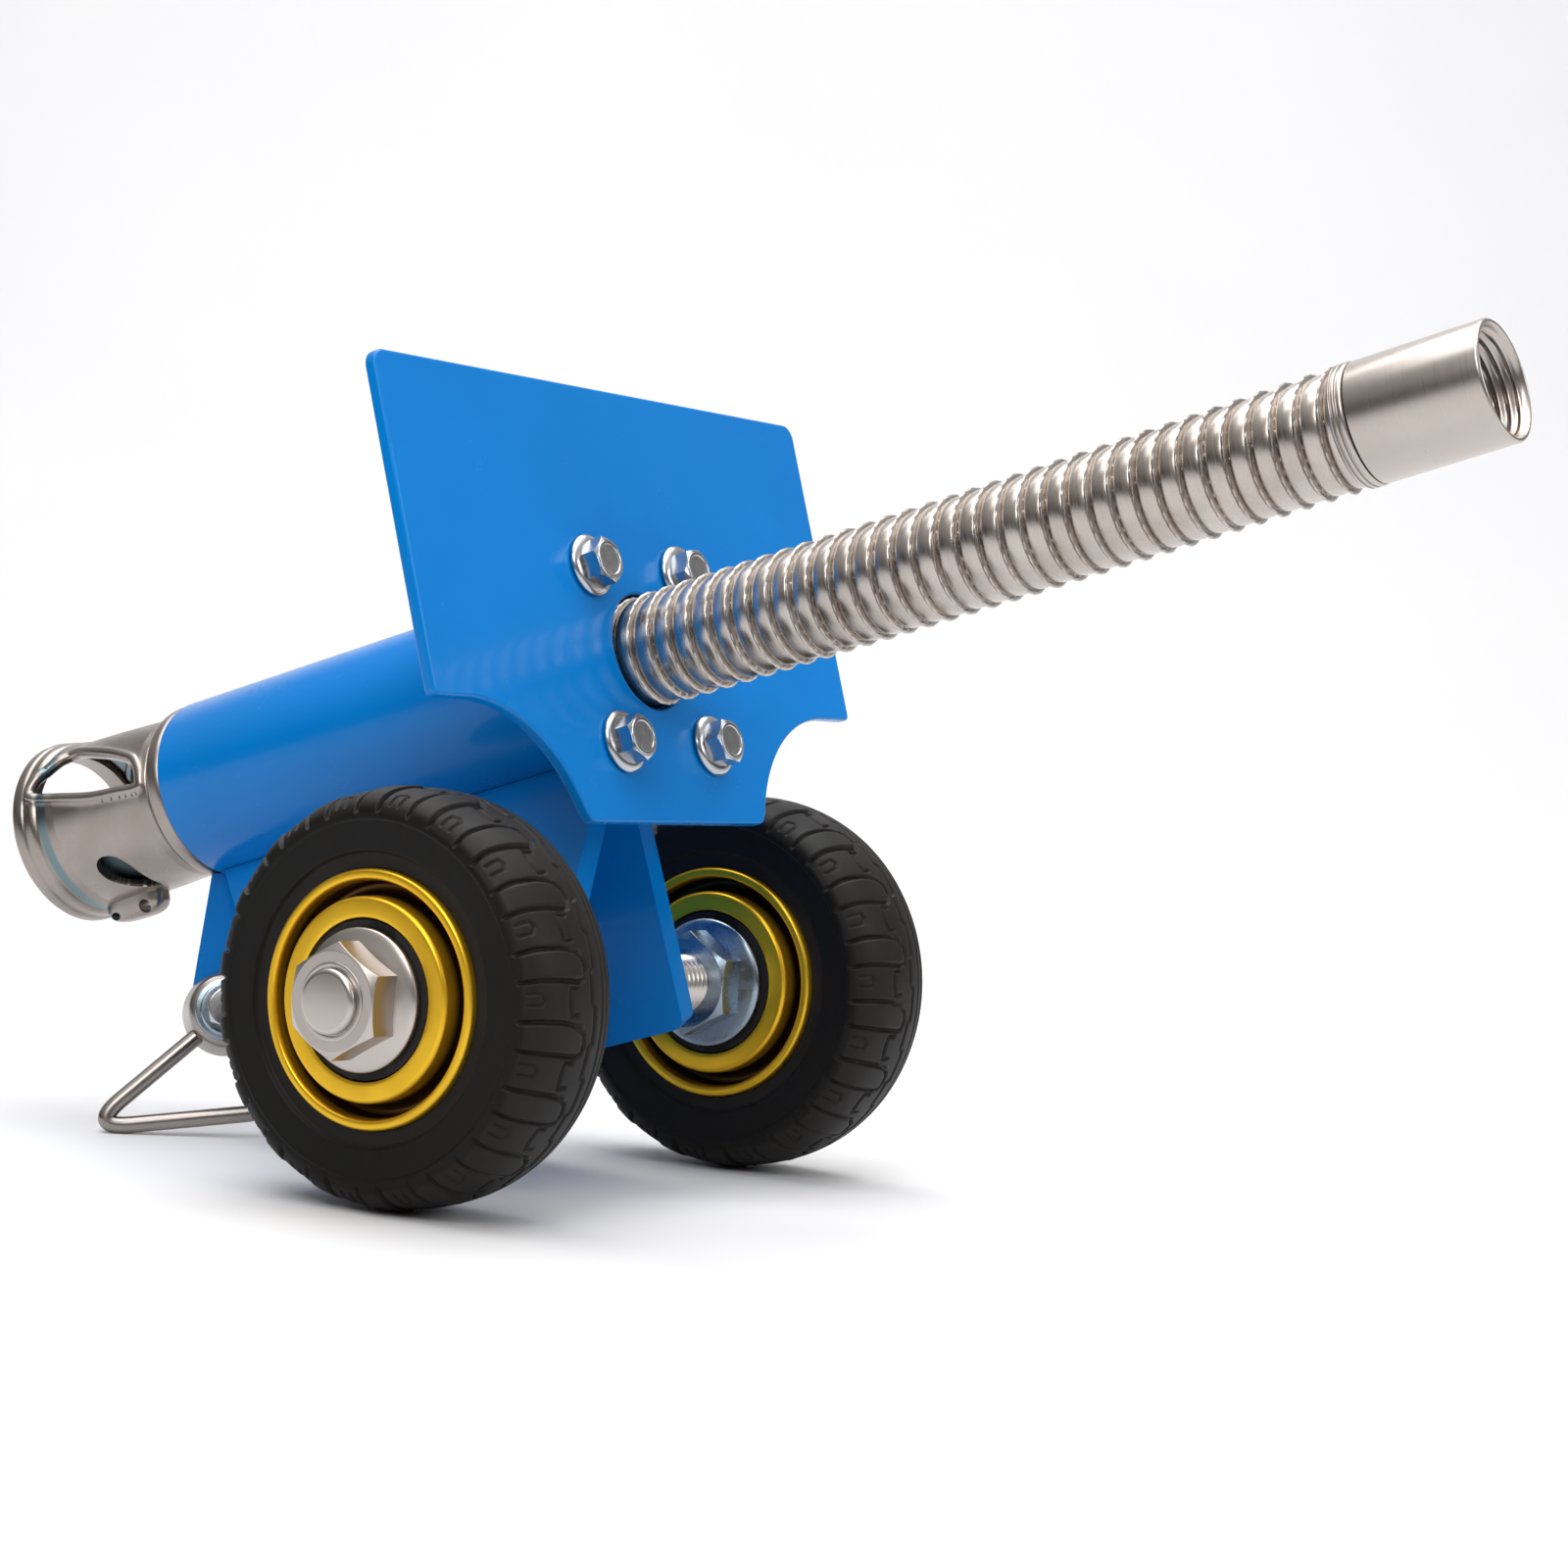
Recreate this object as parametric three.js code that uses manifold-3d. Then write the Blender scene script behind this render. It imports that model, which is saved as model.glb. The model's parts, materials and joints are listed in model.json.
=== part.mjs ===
// Wheeled guide for a drain-cleaning snake. The cable is fed in at the rear bell, runs through the
// housing tube and leaves by the guide hose and its threaded muzzle. Millimetres, +Z up, front is -Y.
// The wheels turn about X. Barrel parts sit in a tilted group: its +Y runs backwards along the cable.
import * as THREE from "three";
import { mergeVertices } from "three/addons/utils/BufferGeometryUtils.js";
import Module from "manifold-3d";

const wasm = await Module();
wasm.setup();

// ---- Driving dimensions ------------------------------------------------------------------------
const GAP = 0.3; // between pieces that touch
const RUNNING_GAP = 0.6; // radial, between pieces that turn on each other

const TYRE_RADIUS = 62.5;
const TYRE_WIDTH = 42.5;
const TYRE_SIDE_RADIUS = 53;
const TYRE_STEP_RADIUS = 42.2;
const RIM_LIP_RADIUS = 38;
const RIM_LIP_WALL = 3.3;
const RIM_GROOVE_DEPTH = 10;
const HUB_RADIUS = 30;
const HUB_PROUD = 1.8;
const WHEEL_TRACK = 180;
const BEARING_BORE = 20;
const BEARING_RADIUS = 23.5;
const BEARING_WIDTH = 12;
const BEARING_RACE = 4;
const SEAL_THICKNESS = 2;

const STUB_RADIUS = 9.7;
const NUT_FLANGE_RADIUS = 21.2;
const NUT_FLANGE_THICKNESS = 2.6;
const NUT_ACROSS_FLATS = 30;
const NUT_HEIGHT = 14;
const STUB_PROUD = 2.6; // stub end beyond the nut
const STUB_CHAMFER = 1.2;

const ELEVATION = THREE.MathUtils.degToRad(17.9);
const BARREL_Y = -13.5; // where the barrel axis meets the shield's front face
const BARREL_ABOVE_AXLE = 107.2;

const SHIELD_THICKNESS = 4;
const SHIELD_TOP = 85.8;
const SHIELD_SIDE_BOTTOM = -18.4;
const SHIELD_BOTTOM = -55.1;
const NOTCH_RADIUS = 52;
const NOTCH_OUTSET = 8; // of a notch's centre from mid-wheel
const SHIELD_OVERHANG = 15.5; // of the shield's side beyond the notch's centre
const SHIELD_CORNER = 5;
const BOLT_CIRCLE_MARGIN = 7.056; // of the bolt circle beyond the tube
const BOLT_CIRCLE_ANGLE = THREE.MathUtils.degToRad(48.814); // of the bolts above level
const SHIELD_BOLTS_BELOW = 2; // of the bolts' middle below the barrel axis
const BOLT_RADIUS = 4;
const BOLT_FLANGE_RADIUS = 10;
const BOLT_HEAD_FLATS = 13;
const BOLT_HEAD_HEIGHT = 8.5;
const FLANGE_THICKNESS = 8;
const FLANGE_MARGIN = 10;

const TUBE_RADIUS = 30.15;
const TUBE_WALL = 3;
const TUBE_END = 182;

const HOSE_RADIUS = 18;
const HOSE_BORE = 14;
const HOSE_LENGTH = 244;
const HOSE_TURNS = 33;
const HOSE_GROOVE = 1.8;
const SOCKET_LENGTH = 30;
const LINER_WALL = 1.2;
const COUPLING_BORE = 14;
const FERRULE_RADIUS = 17.7;
const FERRULE_LENGTH = 45;
const FERRULE_BORE = 14.8;
const FERRULE_THREAD_DEPTH = 26;
const CRIMP_WIDTH = 4.5;

const NECK_INSET = 0.35; // of the neck from the tube's outside
const NECK_LENGTH = 6.5;
const BELL_LENGTH = 59.5;
const BELL_RECESS = 7; // from the spigot to the bell's mouth
const BELL_RIM = 6.5; // from the bell's mouth to its widest radius
const WINDOW_CROWN = 7.5; // of the bell left above its windows
const SPIGOT_RADIUS = 18;
const SPIGOT_LENGTH = 14;
const SPIGOT_DEPTH = 26;
const CIRCLIP_WIDTH = 2;

const LEG_TO_NUT = 13.611; // at the axle, from the leg's middle plane to the inner nut's face
const LEG_THICKNESS = 8;
const LEG_INSET = 2.8; // of a leg's outer face from the plane through the barrel axis
const LEG_FRONT = 11.5; // where the front edge's line meets the barrel axis
const LEG_LEAN = THREE.MathUtils.degToRad(12); // of the front edge, from square across the barrel
const LEG_REACH = 118.6; // from the barrel axis to the bottom edge, along the leg
const LEG_REAR_TOP = 181;
const LEG_REAR_BOTTOM = 139;
const LEG_CORNER = 4;

const PIVOT_X = -16.9;
const PIVOT_Y = 180.9;
const PIVOT_Z = -77;
const PIVOT_TURN = THREE.MathUtils.degToRad(45);
const STAND_COLLAR_RADIUS = 14.2;
const STAND_COLLAR_FACE = 11.8;
const STAND_COLLAR_LENGTH = 15;
const STAND_ROD_RADIUS = 2.8;
const STAND_BEND = 8;
const STAND_BEND_SAG = 0.113; // how far the rear bend's curve stays above its corner
const STAND_FRONT_BEND = 14;
const STAND_REACH_BACK = 55;
const STAND_REACH_FRONT = 17;
const STAND_FOOT_FALL = 5.8; // of the front bend below the rear one, square to the barrel
const BRACKET_THICKNESS = 8;
const BRACKET_WIDTH = 15;
const BRACKET_LUG_RADIUS = 12;
const BRACKET_LEAN = 13;
const WASHER_THICKNESS = 1.6;
const PIVOT_HEAD_HEIGHT = 5.3;
const PIVOT_NUT_HEIGHT = 6.5;
const PIVOT_BOLT_PROUD = 2; // bolt end beyond the nut

// ---- Sizes that follow --------------------------------------------------------------------------
const AXLE_Z = TYRE_RADIUS;
const HALF_WIDTH = TYRE_WIDTH / 2;
const HUB_HALF = HALF_WIDTH + HUB_PROUD;
const FLANGE_FACE = HUB_HALF - 0.2; // inner face of a wheel nut's flange, from mid-wheel
const NUT_FACE = FLANGE_FACE + NUT_HEIGHT;
const BEARING_OUT = FLANGE_FACE - GAP;
const BEARING_IN = BEARING_OUT - BEARING_WIDTH;
const BARREL_Z = AXLE_Z + BARREL_ABOVE_AXLE;
const AXLE_DROP = BARREL_ABOVE_AXLE * Math.cos(ELEVATION) + BARREL_Y * Math.sin(ELEVATION);
const LEG_SPLAY = Math.atan((WHEEL_TRACK / 2 - NUT_FACE - LEG_TO_NUT) / AXLE_DROP);
const NOTCH_X = WHEEL_TRACK / 2 + NOTCH_OUTSET;
const SHIELD_HALF = NOTCH_X + SHIELD_OVERHANG;
const BOLT_CIRCLE = TUBE_RADIUS + BOLT_CIRCLE_MARGIN;
const SHIELD_BOLT_X = BOLT_CIRCLE * Math.cos(BOLT_CIRCLE_ANGLE);
const SHIELD_BOLT_Z = BOLT_CIRCLE * Math.sin(BOLT_CIRCLE_ANGLE);
const NECK_RADIUS = TUBE_RADIUS - NECK_INSET;
const BELL_MOUTH = SPIGOT_RADIUS + BELL_RECESS;
const BELL_RADIUS = BELL_MOUTH + BELL_RIM;
const TUBE_BORE = TUBE_RADIUS - TUBE_WALL;
const FLANGE_FRONT = SHIELD_THICKNESS + GAP;
const TUBE_START = FLANGE_FRONT + FLANGE_THICKNESS + GAP;
const NECK_START = TUBE_END + GAP;
const NECK_END = NECK_START + NECK_LENGTH;
const BELL_START = NECK_END + RUNNING_GAP;
const BELL_END = BELL_START + BELL_LENGTH;
const FERRULE_FRONT = -HOSE_LENGTH - FERRULE_LENGTH;
const HOSE_FRONT = -HOSE_LENGTH + GAP;
const HOSE_END = TUBE_START + SOCKET_LENGTH - GAP;
const LINER_RADIUS = HOSE_BORE - GAP;
const PIVOT_HEIGHT = BARREL_Z - PIVOT_Y * Math.sin(ELEVATION) + PIVOT_Z * Math.cos(ELEVATION);
const SEGMENTS = 24;

// ---- Helpers --------------------------------------------------------------------------------------
const group = new THREE.Group();
const barrel = new THREE.Group();
barrel.position.set(0, BARREL_Y, BARREL_Z);
barrel.rotation.x = -ELEVATION;
group.add(barrel);

const paint = { color: 0x0a6fd6, roughness: 0.28, metalness: 0.1 };
const steel = { color: 0xb5a9a0, roughness: 0.3, metalness: 1 };
const brightZinc = { color: 0xc9ccd0, roughness: 0.25, metalness: 1 };
const goldZinc = { color: 0xe3a90f, roughness: 0.35, metalness: 0.9 };
const rubber = { color: 0x2b2826, roughness: 0.8, metalness: 0 };
const nylon = { color: 0xe8e4da, roughness: 0.5, metalness: 0 };

function addMesh(parent, name, geometry, look) {
  const mesh = new THREE.Mesh(geometry, new THREE.MeshStandardMaterial(look));
  mesh.name = name;
  parent.add(mesh);
  return mesh;
}

function toSolid(geometry) {
  const bare = geometry.clone();
  bare.deleteAttribute("normal");
  bare.deleteAttribute("uv");
  const merged = mergeVertices(bare, 1e-3);
  return new wasm.Manifold(
    new wasm.Mesh({
      numProp: 3,
      vertProperties: new Float32Array(merged.attributes.position.array),
      triVerts: new Uint32Array(merged.index.array),
    }),
  );
}

function toGeometry(solid) {
  const mesh = solid.getMesh();
  const geometry = new THREE.BufferGeometry();
  geometry.setAttribute("position", new THREE.BufferAttribute(mesh.vertProperties, 3));
  geometry.setIndex(new THREE.BufferAttribute(mesh.triVerts, 1));
  geometry.computeVertexNormals();
  return geometry;
}

function cut(geometry, ...tools) {
  return toGeometry(tools.reduce((solid, tool) => solid.subtract(toSolid(tool)), toSolid(geometry)));
}

function join(geometry, ...others) {
  return toGeometry(others.reduce((solid, other) => solid.add(toSolid(other)), toSolid(geometry)));
}

// A body turned about +Y from [radius, y] points, listed counter-clockwise. A profile that doesn't
// start on the axis is closed on itself. A flat, not a ridge, faces each of the four sides.
function turned(profile, segments = SEGMENTS) {
  const points = profile.map(([radius, y]) => new THREE.Vector2(radius, y));
  if (points[0].x > 0) points.push(points[0].clone());
  return new THREE.LatheGeometry(points, segments, Math.PI / segments, 2 * Math.PI);
}

function ring(bore, radius, from, to, segments = SEGMENTS) {
  return turned([[bore, from], [radius, from], [radius, to], [bore, to]], segments);
}

function rod(radius, from, to, segments = SEGMENTS) {
  return turned([[0, from], [radius, from], [radius, to], [0, to]], segments);
}

// A hexagonal prism about +Y whose far end is chamfered as a spanner-sized head is.
function hexagon(acrossFlats, from, to) {
  const corner = acrossFlats / Math.sqrt(3);
  const prism = new THREE.CylinderGeometry(corner, corner, to - from, 6);
  prism.translate(0, (from + to) / 2, 0);
  const chamfer = (corner - acrossFlats / 2) * 0.7;
  const envelope = turned([
    [0, from - 1],
    [corner + 1, from - 1],
    [corner + 1, to - chamfer],
    [acrossFlats / 2 - 0.3, to],
    [0, to],
  ]);
  return toGeometry(toSolid(prism).intersect(toSolid(envelope)));
}

// A rounded outline through [x, y, radius] corners.
function roundedShape(corners) {
  const shape = new THREE.Shape();
  corners.forEach(([x, y, radius], i) => {
    const here = new THREE.Vector2(x, y);
    const last = corners.at(i - 1);
    const next = corners[(i + 1) % corners.length];
    const before = new THREE.Vector2(last[0], last[1]).sub(here).setLength(radius).add(here);
    const after = new THREE.Vector2(next[0], next[1]).sub(here).setLength(radius).add(here);
    if (i === 0) shape.moveTo(before.x, before.y);
    else shape.lineTo(before.x, before.y);
    if (radius > 0) shape.quadraticCurveTo(x, y, after.x, after.y);
  });
  shape.closePath();
  return shape;
}

function plate(shape, thickness, curveSegments = 4) {
  return new THREE.ExtrudeGeometry(shape, { depth: thickness, bevelEnabled: false, curveSegments });
}

// A plate drawn in Y and Z, from the given X on.
function sidePlate(shape, x, thickness) {
  const geometry = plate(shape, thickness);
  geometry.rotateY(Math.PI / 2);
  geometry.rotateX(Math.PI / 2);
  geometry.translate(x, 0, 0);
  return geometry;
}

// ---- Wheels ---------------------------------------------------------------------------------------
function tyreGeometry() {
  const crown = TYRE_RADIUS / Math.cos(Math.PI / 32);
  const shoulder = crown - 4.5;
  const seat = RIM_LIP_RADIUS + GAP;
  const half = [
    [TYRE_STEP_RADIUS, HALF_WIDTH - 1.2],
    [TYRE_STEP_RADIUS + 0.8, HALF_WIDTH],
    [TYRE_SIDE_RADIUS, HALF_WIDTH],
    [shoulder, HALF_WIDTH - 4.2],
    [crown, HALF_WIDTH - 11],
  ];
  const lower = half.map(([radius, y]) => [radius, -y]);
  const upper = [...half].reverse();
  const bed = [[seat, HALF_WIDTH - 1.2], [seat, 1.2 - HALF_WIDTH]];
  return turned([...lower, ...upper, ...bed], 32);
}

function rimGeometry() {
  const lip = RIM_LIP_RADIUS;
  const groove = HALF_WIDTH - RIM_GROOVE_DEPTH;
  const inner = lip - RIM_LIP_WALL;
  const bore = BEARING_RADIUS + GAP;
  const half = [
    [bore, HUB_HALF],
    [HUB_RADIUS, HUB_HALF],
    [HUB_RADIUS, groove],
    [inner, groove],
    [inner, HALF_WIDTH],
    [lip, HALF_WIDTH],
  ];
  const lower = half.map(([radius, y]) => [radius, -y]);
  const upper = [...half].reverse();
  const shoulder = [[bore, BEARING_IN - GAP], [bore - 3, BEARING_IN - GAP]];
  const shoulders = [...shoulder, ...shoulder.map(([radius, y]) => [radius, -y]).reverse()];
  return turned([...lower, ...upper, ...shoulders]);
}

function flangeNutGeometry() {
  const face = FLANGE_FACE;
  const skirt = turned([
    [0, face],
    [NUT_FLANGE_RADIUS, face],
    [NUT_FLANGE_RADIUS, face + NUT_FLANGE_THICKNESS],
    [NUT_ACROSS_FLATS / 2, face + NUT_FLANGE_THICKNESS + 2],
    [0, face + NUT_FLANGE_THICKNESS + 2],
  ]);
  const nut = join(skirt, hexagon(NUT_ACROSS_FLATS, face + 1, NUT_FACE));
  return cut(nut, rod(STUB_RADIUS + GAP, face - 1, NUT_FACE + 1));
}

function addBearing(parent, name, y) {
  const width = BEARING_WIDTH - SEAL_THICKNESS - GAP;
  const raceRadius = BEARING_BORE / 2 + BEARING_RACE;
  const outerBore = BEARING_RADIUS - BEARING_RACE;
  const ballRadius = (outerBore - raceRadius) / 2 - GAP;
  const mid = (raceRadius + outerBore) / 2;
  const inner = y > 0 ? y : y - BEARING_WIDTH;
  const race = y > 0 ? y : y - width;
  const seal = y > 0 ? y + width + GAP : y - BEARING_WIDTH;
  const centre = race + width / 2;
  const section = [0, 1, 2, 3, 4, 5].map((i) => {
    const angle = (i * Math.PI) / 3;
    return [mid + ballRadius * Math.cos(angle), centre + ballRadius * Math.sin(angle)];
  });
  const innerRace = ring(BEARING_BORE / 2, raceRadius, inner, inner + BEARING_WIDTH, 16);
  const outerRace = ring(outerBore, BEARING_RADIUS, race, race + width, 16);
  const sealRing = ring(raceRadius + RUNNING_GAP, BEARING_RADIUS, seal, seal + SEAL_THICKNESS);
  addMesh(parent, name + "_inner_race", innerRace, brightZinc);
  addMesh(parent, name + "_outer_race", outerRace, brightZinc);
  addMesh(parent, name + "_ball_cage", turned(section, 16), brightZinc);
  addMesh(parent, name + "_seal", sealRing, rubber);
}

// A wheel's group has +Y pointing away from the machine.
function addWheel(side, sign) {
  const wheel = new THREE.Group();
  wheel.position.set((sign * WHEEL_TRACK) / 2, 0, AXLE_Z);
  wheel.rotation.z = (-sign * Math.PI) / 2;
  group.add(wheel);
  addMesh(wheel, side + "_tyre", tyreGeometry(), rubber);
  addMesh(wheel, side + "_rim", rimGeometry(), goldZinc);
  addBearing(wheel, side + "_outer_bearing", BEARING_IN);
  addBearing(wheel, side + "_inner_bearing", -BEARING_IN);
  const spacer = ring(BEARING_BORE / 2, BEARING_BORE / 2 + 3, GAP - BEARING_IN, BEARING_IN - GAP, 16);
  addMesh(wheel, side + "_bearing_spacer", spacer, brightZinc);
  addMesh(wheel, side + "_outer_nut", flangeNutGeometry(), steel);
  const innerNut = addMesh(wheel, side + "_inner_nut", flangeNutGeometry(), steel);
  innerNut.rotation.x = Math.PI;
}

// The stub's inner end is cut square to the splayed leg that it is welded to.
function addStub(side, sign) {
  const tip = WHEEL_TRACK / 2 + NUT_FACE + STUB_PROUD;
  const stub = turned([
    [0, 0],
    [STUB_RADIUS, 0],
    [STUB_RADIUS, tip - STUB_CHAMFER],
    [STUB_RADIUS - STUB_CHAMFER, tip],
    [0, tip],
  ]);
  stub.rotateZ((-sign * Math.PI) / 2);
  stub.translate(0, 0, AXLE_Z);
  const reach = 4 * tip;
  const beyond = new THREE.BoxGeometry(reach, reach, reach);
  beyond.translate(sign * (GAP - LEG_INSET - reach / 2), 0, 0);
  beyond.rotateY(-sign * LEG_SPLAY);
  beyond.rotateX(-ELEVATION);
  beyond.translate(0, BARREL_Y, BARREL_Z);
  addMesh(group, side + "_stub_axle", cut(stub, beyond), brightZinc);
}

// ---- Shield, tube and legs ------------------------------------------------------------------------
function shieldShape() {
  const half = SHIELD_HALF;
  const notchZ = SHIELD_SIDE_BOTTOM - NOTCH_RADIUS;
  const tabAngle = Math.asin((SHIELD_BOTTOM - notchZ) / NOTCH_RADIUS);
  const c = SHIELD_CORNER;
  const shape = new THREE.Shape();
  shape.moveTo(-half + c, SHIELD_TOP);
  shape.quadraticCurveTo(-half, SHIELD_TOP, -half, SHIELD_TOP - c);
  shape.lineTo(-half, SHIELD_SIDE_BOTTOM + 2);
  shape.quadraticCurveTo(-half, SHIELD_SIDE_BOTTOM, -half + 2, SHIELD_SIDE_BOTTOM);
  shape.absarc(-NOTCH_X, notchZ, NOTCH_RADIUS, Math.PI / 2, tabAngle, true);
  shape.absarc(NOTCH_X, notchZ, NOTCH_RADIUS, Math.PI - tabAngle, Math.PI / 2, true);
  shape.lineTo(half - 2, SHIELD_SIDE_BOTTOM);
  shape.quadraticCurveTo(half, SHIELD_SIDE_BOTTOM, half, SHIELD_SIDE_BOTTOM + 2);
  shape.lineTo(half, SHIELD_TOP - c);
  shape.quadraticCurveTo(half, SHIELD_TOP, half - c, SHIELD_TOP);
  shape.closePath();
  return shape;
}

function addCircleHole(shape, x, z, radius) {
  const hole = new THREE.Path();
  hole.absarc(x, z, radius, 0, 2 * Math.PI, true);
  shape.holes.push(hole);
}

const boltPlaces = [[-1, 1], [1, 1], [-1, -1], [1, -1]].map(([x, z]) => [
  x * SHIELD_BOLT_X,
  z * SHIELD_BOLT_Z - SHIELD_BOLTS_BELOW,
]);

// A plate drawn in X and Z, with its front face at the given Y of the barrel group.
function uprightPlate(shape, y, thickness, curveSegments) {
  const geometry = plate(shape, thickness, curveSegments);
  geometry.rotateX(Math.PI / 2);
  geometry.translate(0, y + thickness, 0);
  return geometry;
}

function addShield() {
  const shape = shieldShape();
  addCircleHole(shape, 0, 0, HOSE_RADIUS + RUNNING_GAP);
  boltPlaces.forEach(([x, z]) => addCircleHole(shape, x, z, BOLT_RADIUS + GAP));
  addMesh(barrel, "shield_plate", uprightPlate(shape, 0, SHIELD_THICKNESS, 6), paint);
}

function addTubeFlange() {
  const x = SHIELD_BOLT_X + FLANGE_MARGIN;
  const top = SHIELD_BOLT_Z + FLANGE_MARGIN - SHIELD_BOLTS_BELOW;
  const bottom = -SHIELD_BOLT_Z - FLANGE_MARGIN - SHIELD_BOLTS_BELOW;
  const shape = roundedShape([[-x, bottom, 8], [x, bottom, 8], [x, top, 8], [-x, top, 8]]);
  addCircleHole(shape, 0, 0, HOSE_RADIUS + RUNNING_GAP);
  boltPlaces.forEach(([bx, bz]) => addCircleHole(shape, bx, bz, BOLT_RADIUS + GAP));
  addMesh(barrel, "tube_flange", uprightPlate(shape, FLANGE_FRONT, FLANGE_THICKNESS, 6), paint);
  addMesh(barrel, "housing_tube", ring(TUBE_BORE, TUBE_RADIUS, TUBE_START, TUBE_END, 32), paint);
}

function addShieldBolts() {
  boltPlaces.forEach(([x, z], i) => {
    const shankEnd = FLANGE_FRONT + FLANGE_THICKNESS + 2;
    const washerFace = turned([
      [0, -shankEnd],
      [BOLT_RADIUS, -shankEnd],
      [BOLT_RADIUS, GAP],
      [BOLT_FLANGE_RADIUS, GAP],
      [BOLT_FLANGE_RADIUS - 0.6, 1.8],
      [BOLT_HEAD_FLATS / 2, 3],
      [0, 3],
    ], 16);
    const head = join(washerFace, hexagon(BOLT_HEAD_FLATS, 2, BOLT_HEAD_HEIGHT));
    const bolt = addMesh(barrel, "shield_bolt_" + (i + 1), head, brightZinc);
    bolt.rotation.x = Math.PI;
    bolt.position.set(x, 0, z);
  });
}

// A leg is a flat plate in a plane along the barrel axis: its front edge leans, its bottom edge runs
// parallel to the barrel and its rear edge slopes up to the end of the tube.
function legBlank(sign, margin) {
  const top = TUBE_RADIUS - 6;
  const drop = Math.tan(LEG_LEAN);
  const shape = roundedShape([
    [LEG_FRONT + drop * top, -top, 1],
    [LEG_FRONT + drop * LEG_REACH, -LEG_REACH, LEG_CORNER],
    [LEG_REAR_BOTTOM + margin, -LEG_REACH, LEG_CORNER * 3],
    [LEG_REAR_TOP + margin, -top, 1],
  ]);
  const from = sign > 0 ? -LEG_INSET - LEG_THICKNESS : LEG_INSET;
  const blank = sidePlate(shape, from - margin, LEG_THICKNESS + 2 * margin);
  return blank.rotateY(-sign * LEG_SPLAY);
}

// Each leg is cut to fit the tube and stops at the middle plane between the legs.
function addLeg(side, sign) {
  const seat = rod(TUBE_RADIUS + GAP, 0, 2 * LEG_REAR_TOP, 32);
  const beyond = new THREE.BoxGeometry(4 * LEG_REACH, 4 * LEG_REAR_TOP, 4 * LEG_REACH);
  beyond.translate(sign * (GAP / 2 - 2 * LEG_REACH), 0, 0);
  addMesh(barrel, side + "_leg", cut(legBlank(sign, 0), seat, beyond), paint);
}

// ---- Guide hose, liner and muzzle -----------------------------------------------------------------
function hoseGeometry() {
  const end = HOSE_END;
  const pitch = HOSE_LENGTH / HOSE_TURNS;
  const outer = [];
  for (let turn = 0; turn < HOSE_TURNS; turn += 1) {
    const y = HOSE_FRONT + turn * pitch;
    outer.push([HOSE_RADIUS - HOSE_GROOVE, y + pitch * 0.06], [HOSE_RADIUS, y + pitch * 0.25]);
    outer.push([HOSE_RADIUS, y + pitch * 0.8]);
  }
  const tail = [[HOSE_RADIUS - HOSE_GROOVE, 0], [HOSE_RADIUS - HOSE_GROOVE, end]];
  return turned([[HOSE_BORE, HOSE_FRONT], ...outer, ...tail, [HOSE_BORE, end]], 12);
}

function addHose() {
  addMesh(barrel, "guide_hose", hoseGeometry(), steel);
  const socketEnd = TUBE_START + SOCKET_LENGTH;
  const socket = turned([
    [HOSE_RADIUS - HOSE_GROOVE + GAP, TUBE_START],
    [TUBE_BORE - GAP, TUBE_START],
    [TUBE_BORE - GAP, socketEnd + 6],
    [HOSE_BORE, socketEnd + 6],
    [HOSE_BORE, socketEnd],
    [HOSE_RADIUS - HOSE_GROOVE + GAP, socketEnd],
  ]);
  addMesh(barrel, "hose_socket", socket, steel);
  const linerFront = FERRULE_FRONT + FERRULE_THREAD_DEPTH + GAP;
  const liner = ring(LINER_RADIUS - LINER_WALL, LINER_RADIUS, linerFront, HOSE_END, 12);
  addMesh(barrel, "liner_tube", liner, steel);
}

function addMuzzle() {
  const front = FERRULE_FRONT;
  const rear = -HOSE_LENGTH;
  const ferrule = turned([
    [FERRULE_BORE, front],
    [FERRULE_RADIUS - 0.6, front],
    [FERRULE_RADIUS, front + 0.8],
    [FERRULE_RADIUS, rear - CRIMP_WIDTH - GAP],
    [HOSE_BORE, rear - CRIMP_WIDTH - GAP],
    [HOSE_BORE, front + FERRULE_THREAD_DEPTH],
    [FERRULE_BORE, front + FERRULE_THREAD_DEPTH],
  ]);
  addMesh(barrel, "muzzle_ferrule", ferrule, steel);
  const from = rear - CRIMP_WIDTH;
  const crimp = turned([
    [HOSE_BORE, from],
    [FERRULE_RADIUS, from],
    [FERRULE_RADIUS + 0.4, from + 0.7],
    [FERRULE_RADIUS - 0.5, from + CRIMP_WIDTH / 2],
    [FERRULE_RADIUS + 0.4, rear - 0.7],
    [FERRULE_RADIUS - 0.2, rear],
    [HOSE_BORE, rear],
  ]);
  addMesh(barrel, "crimp_ring", crimp, steel);
}

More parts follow.
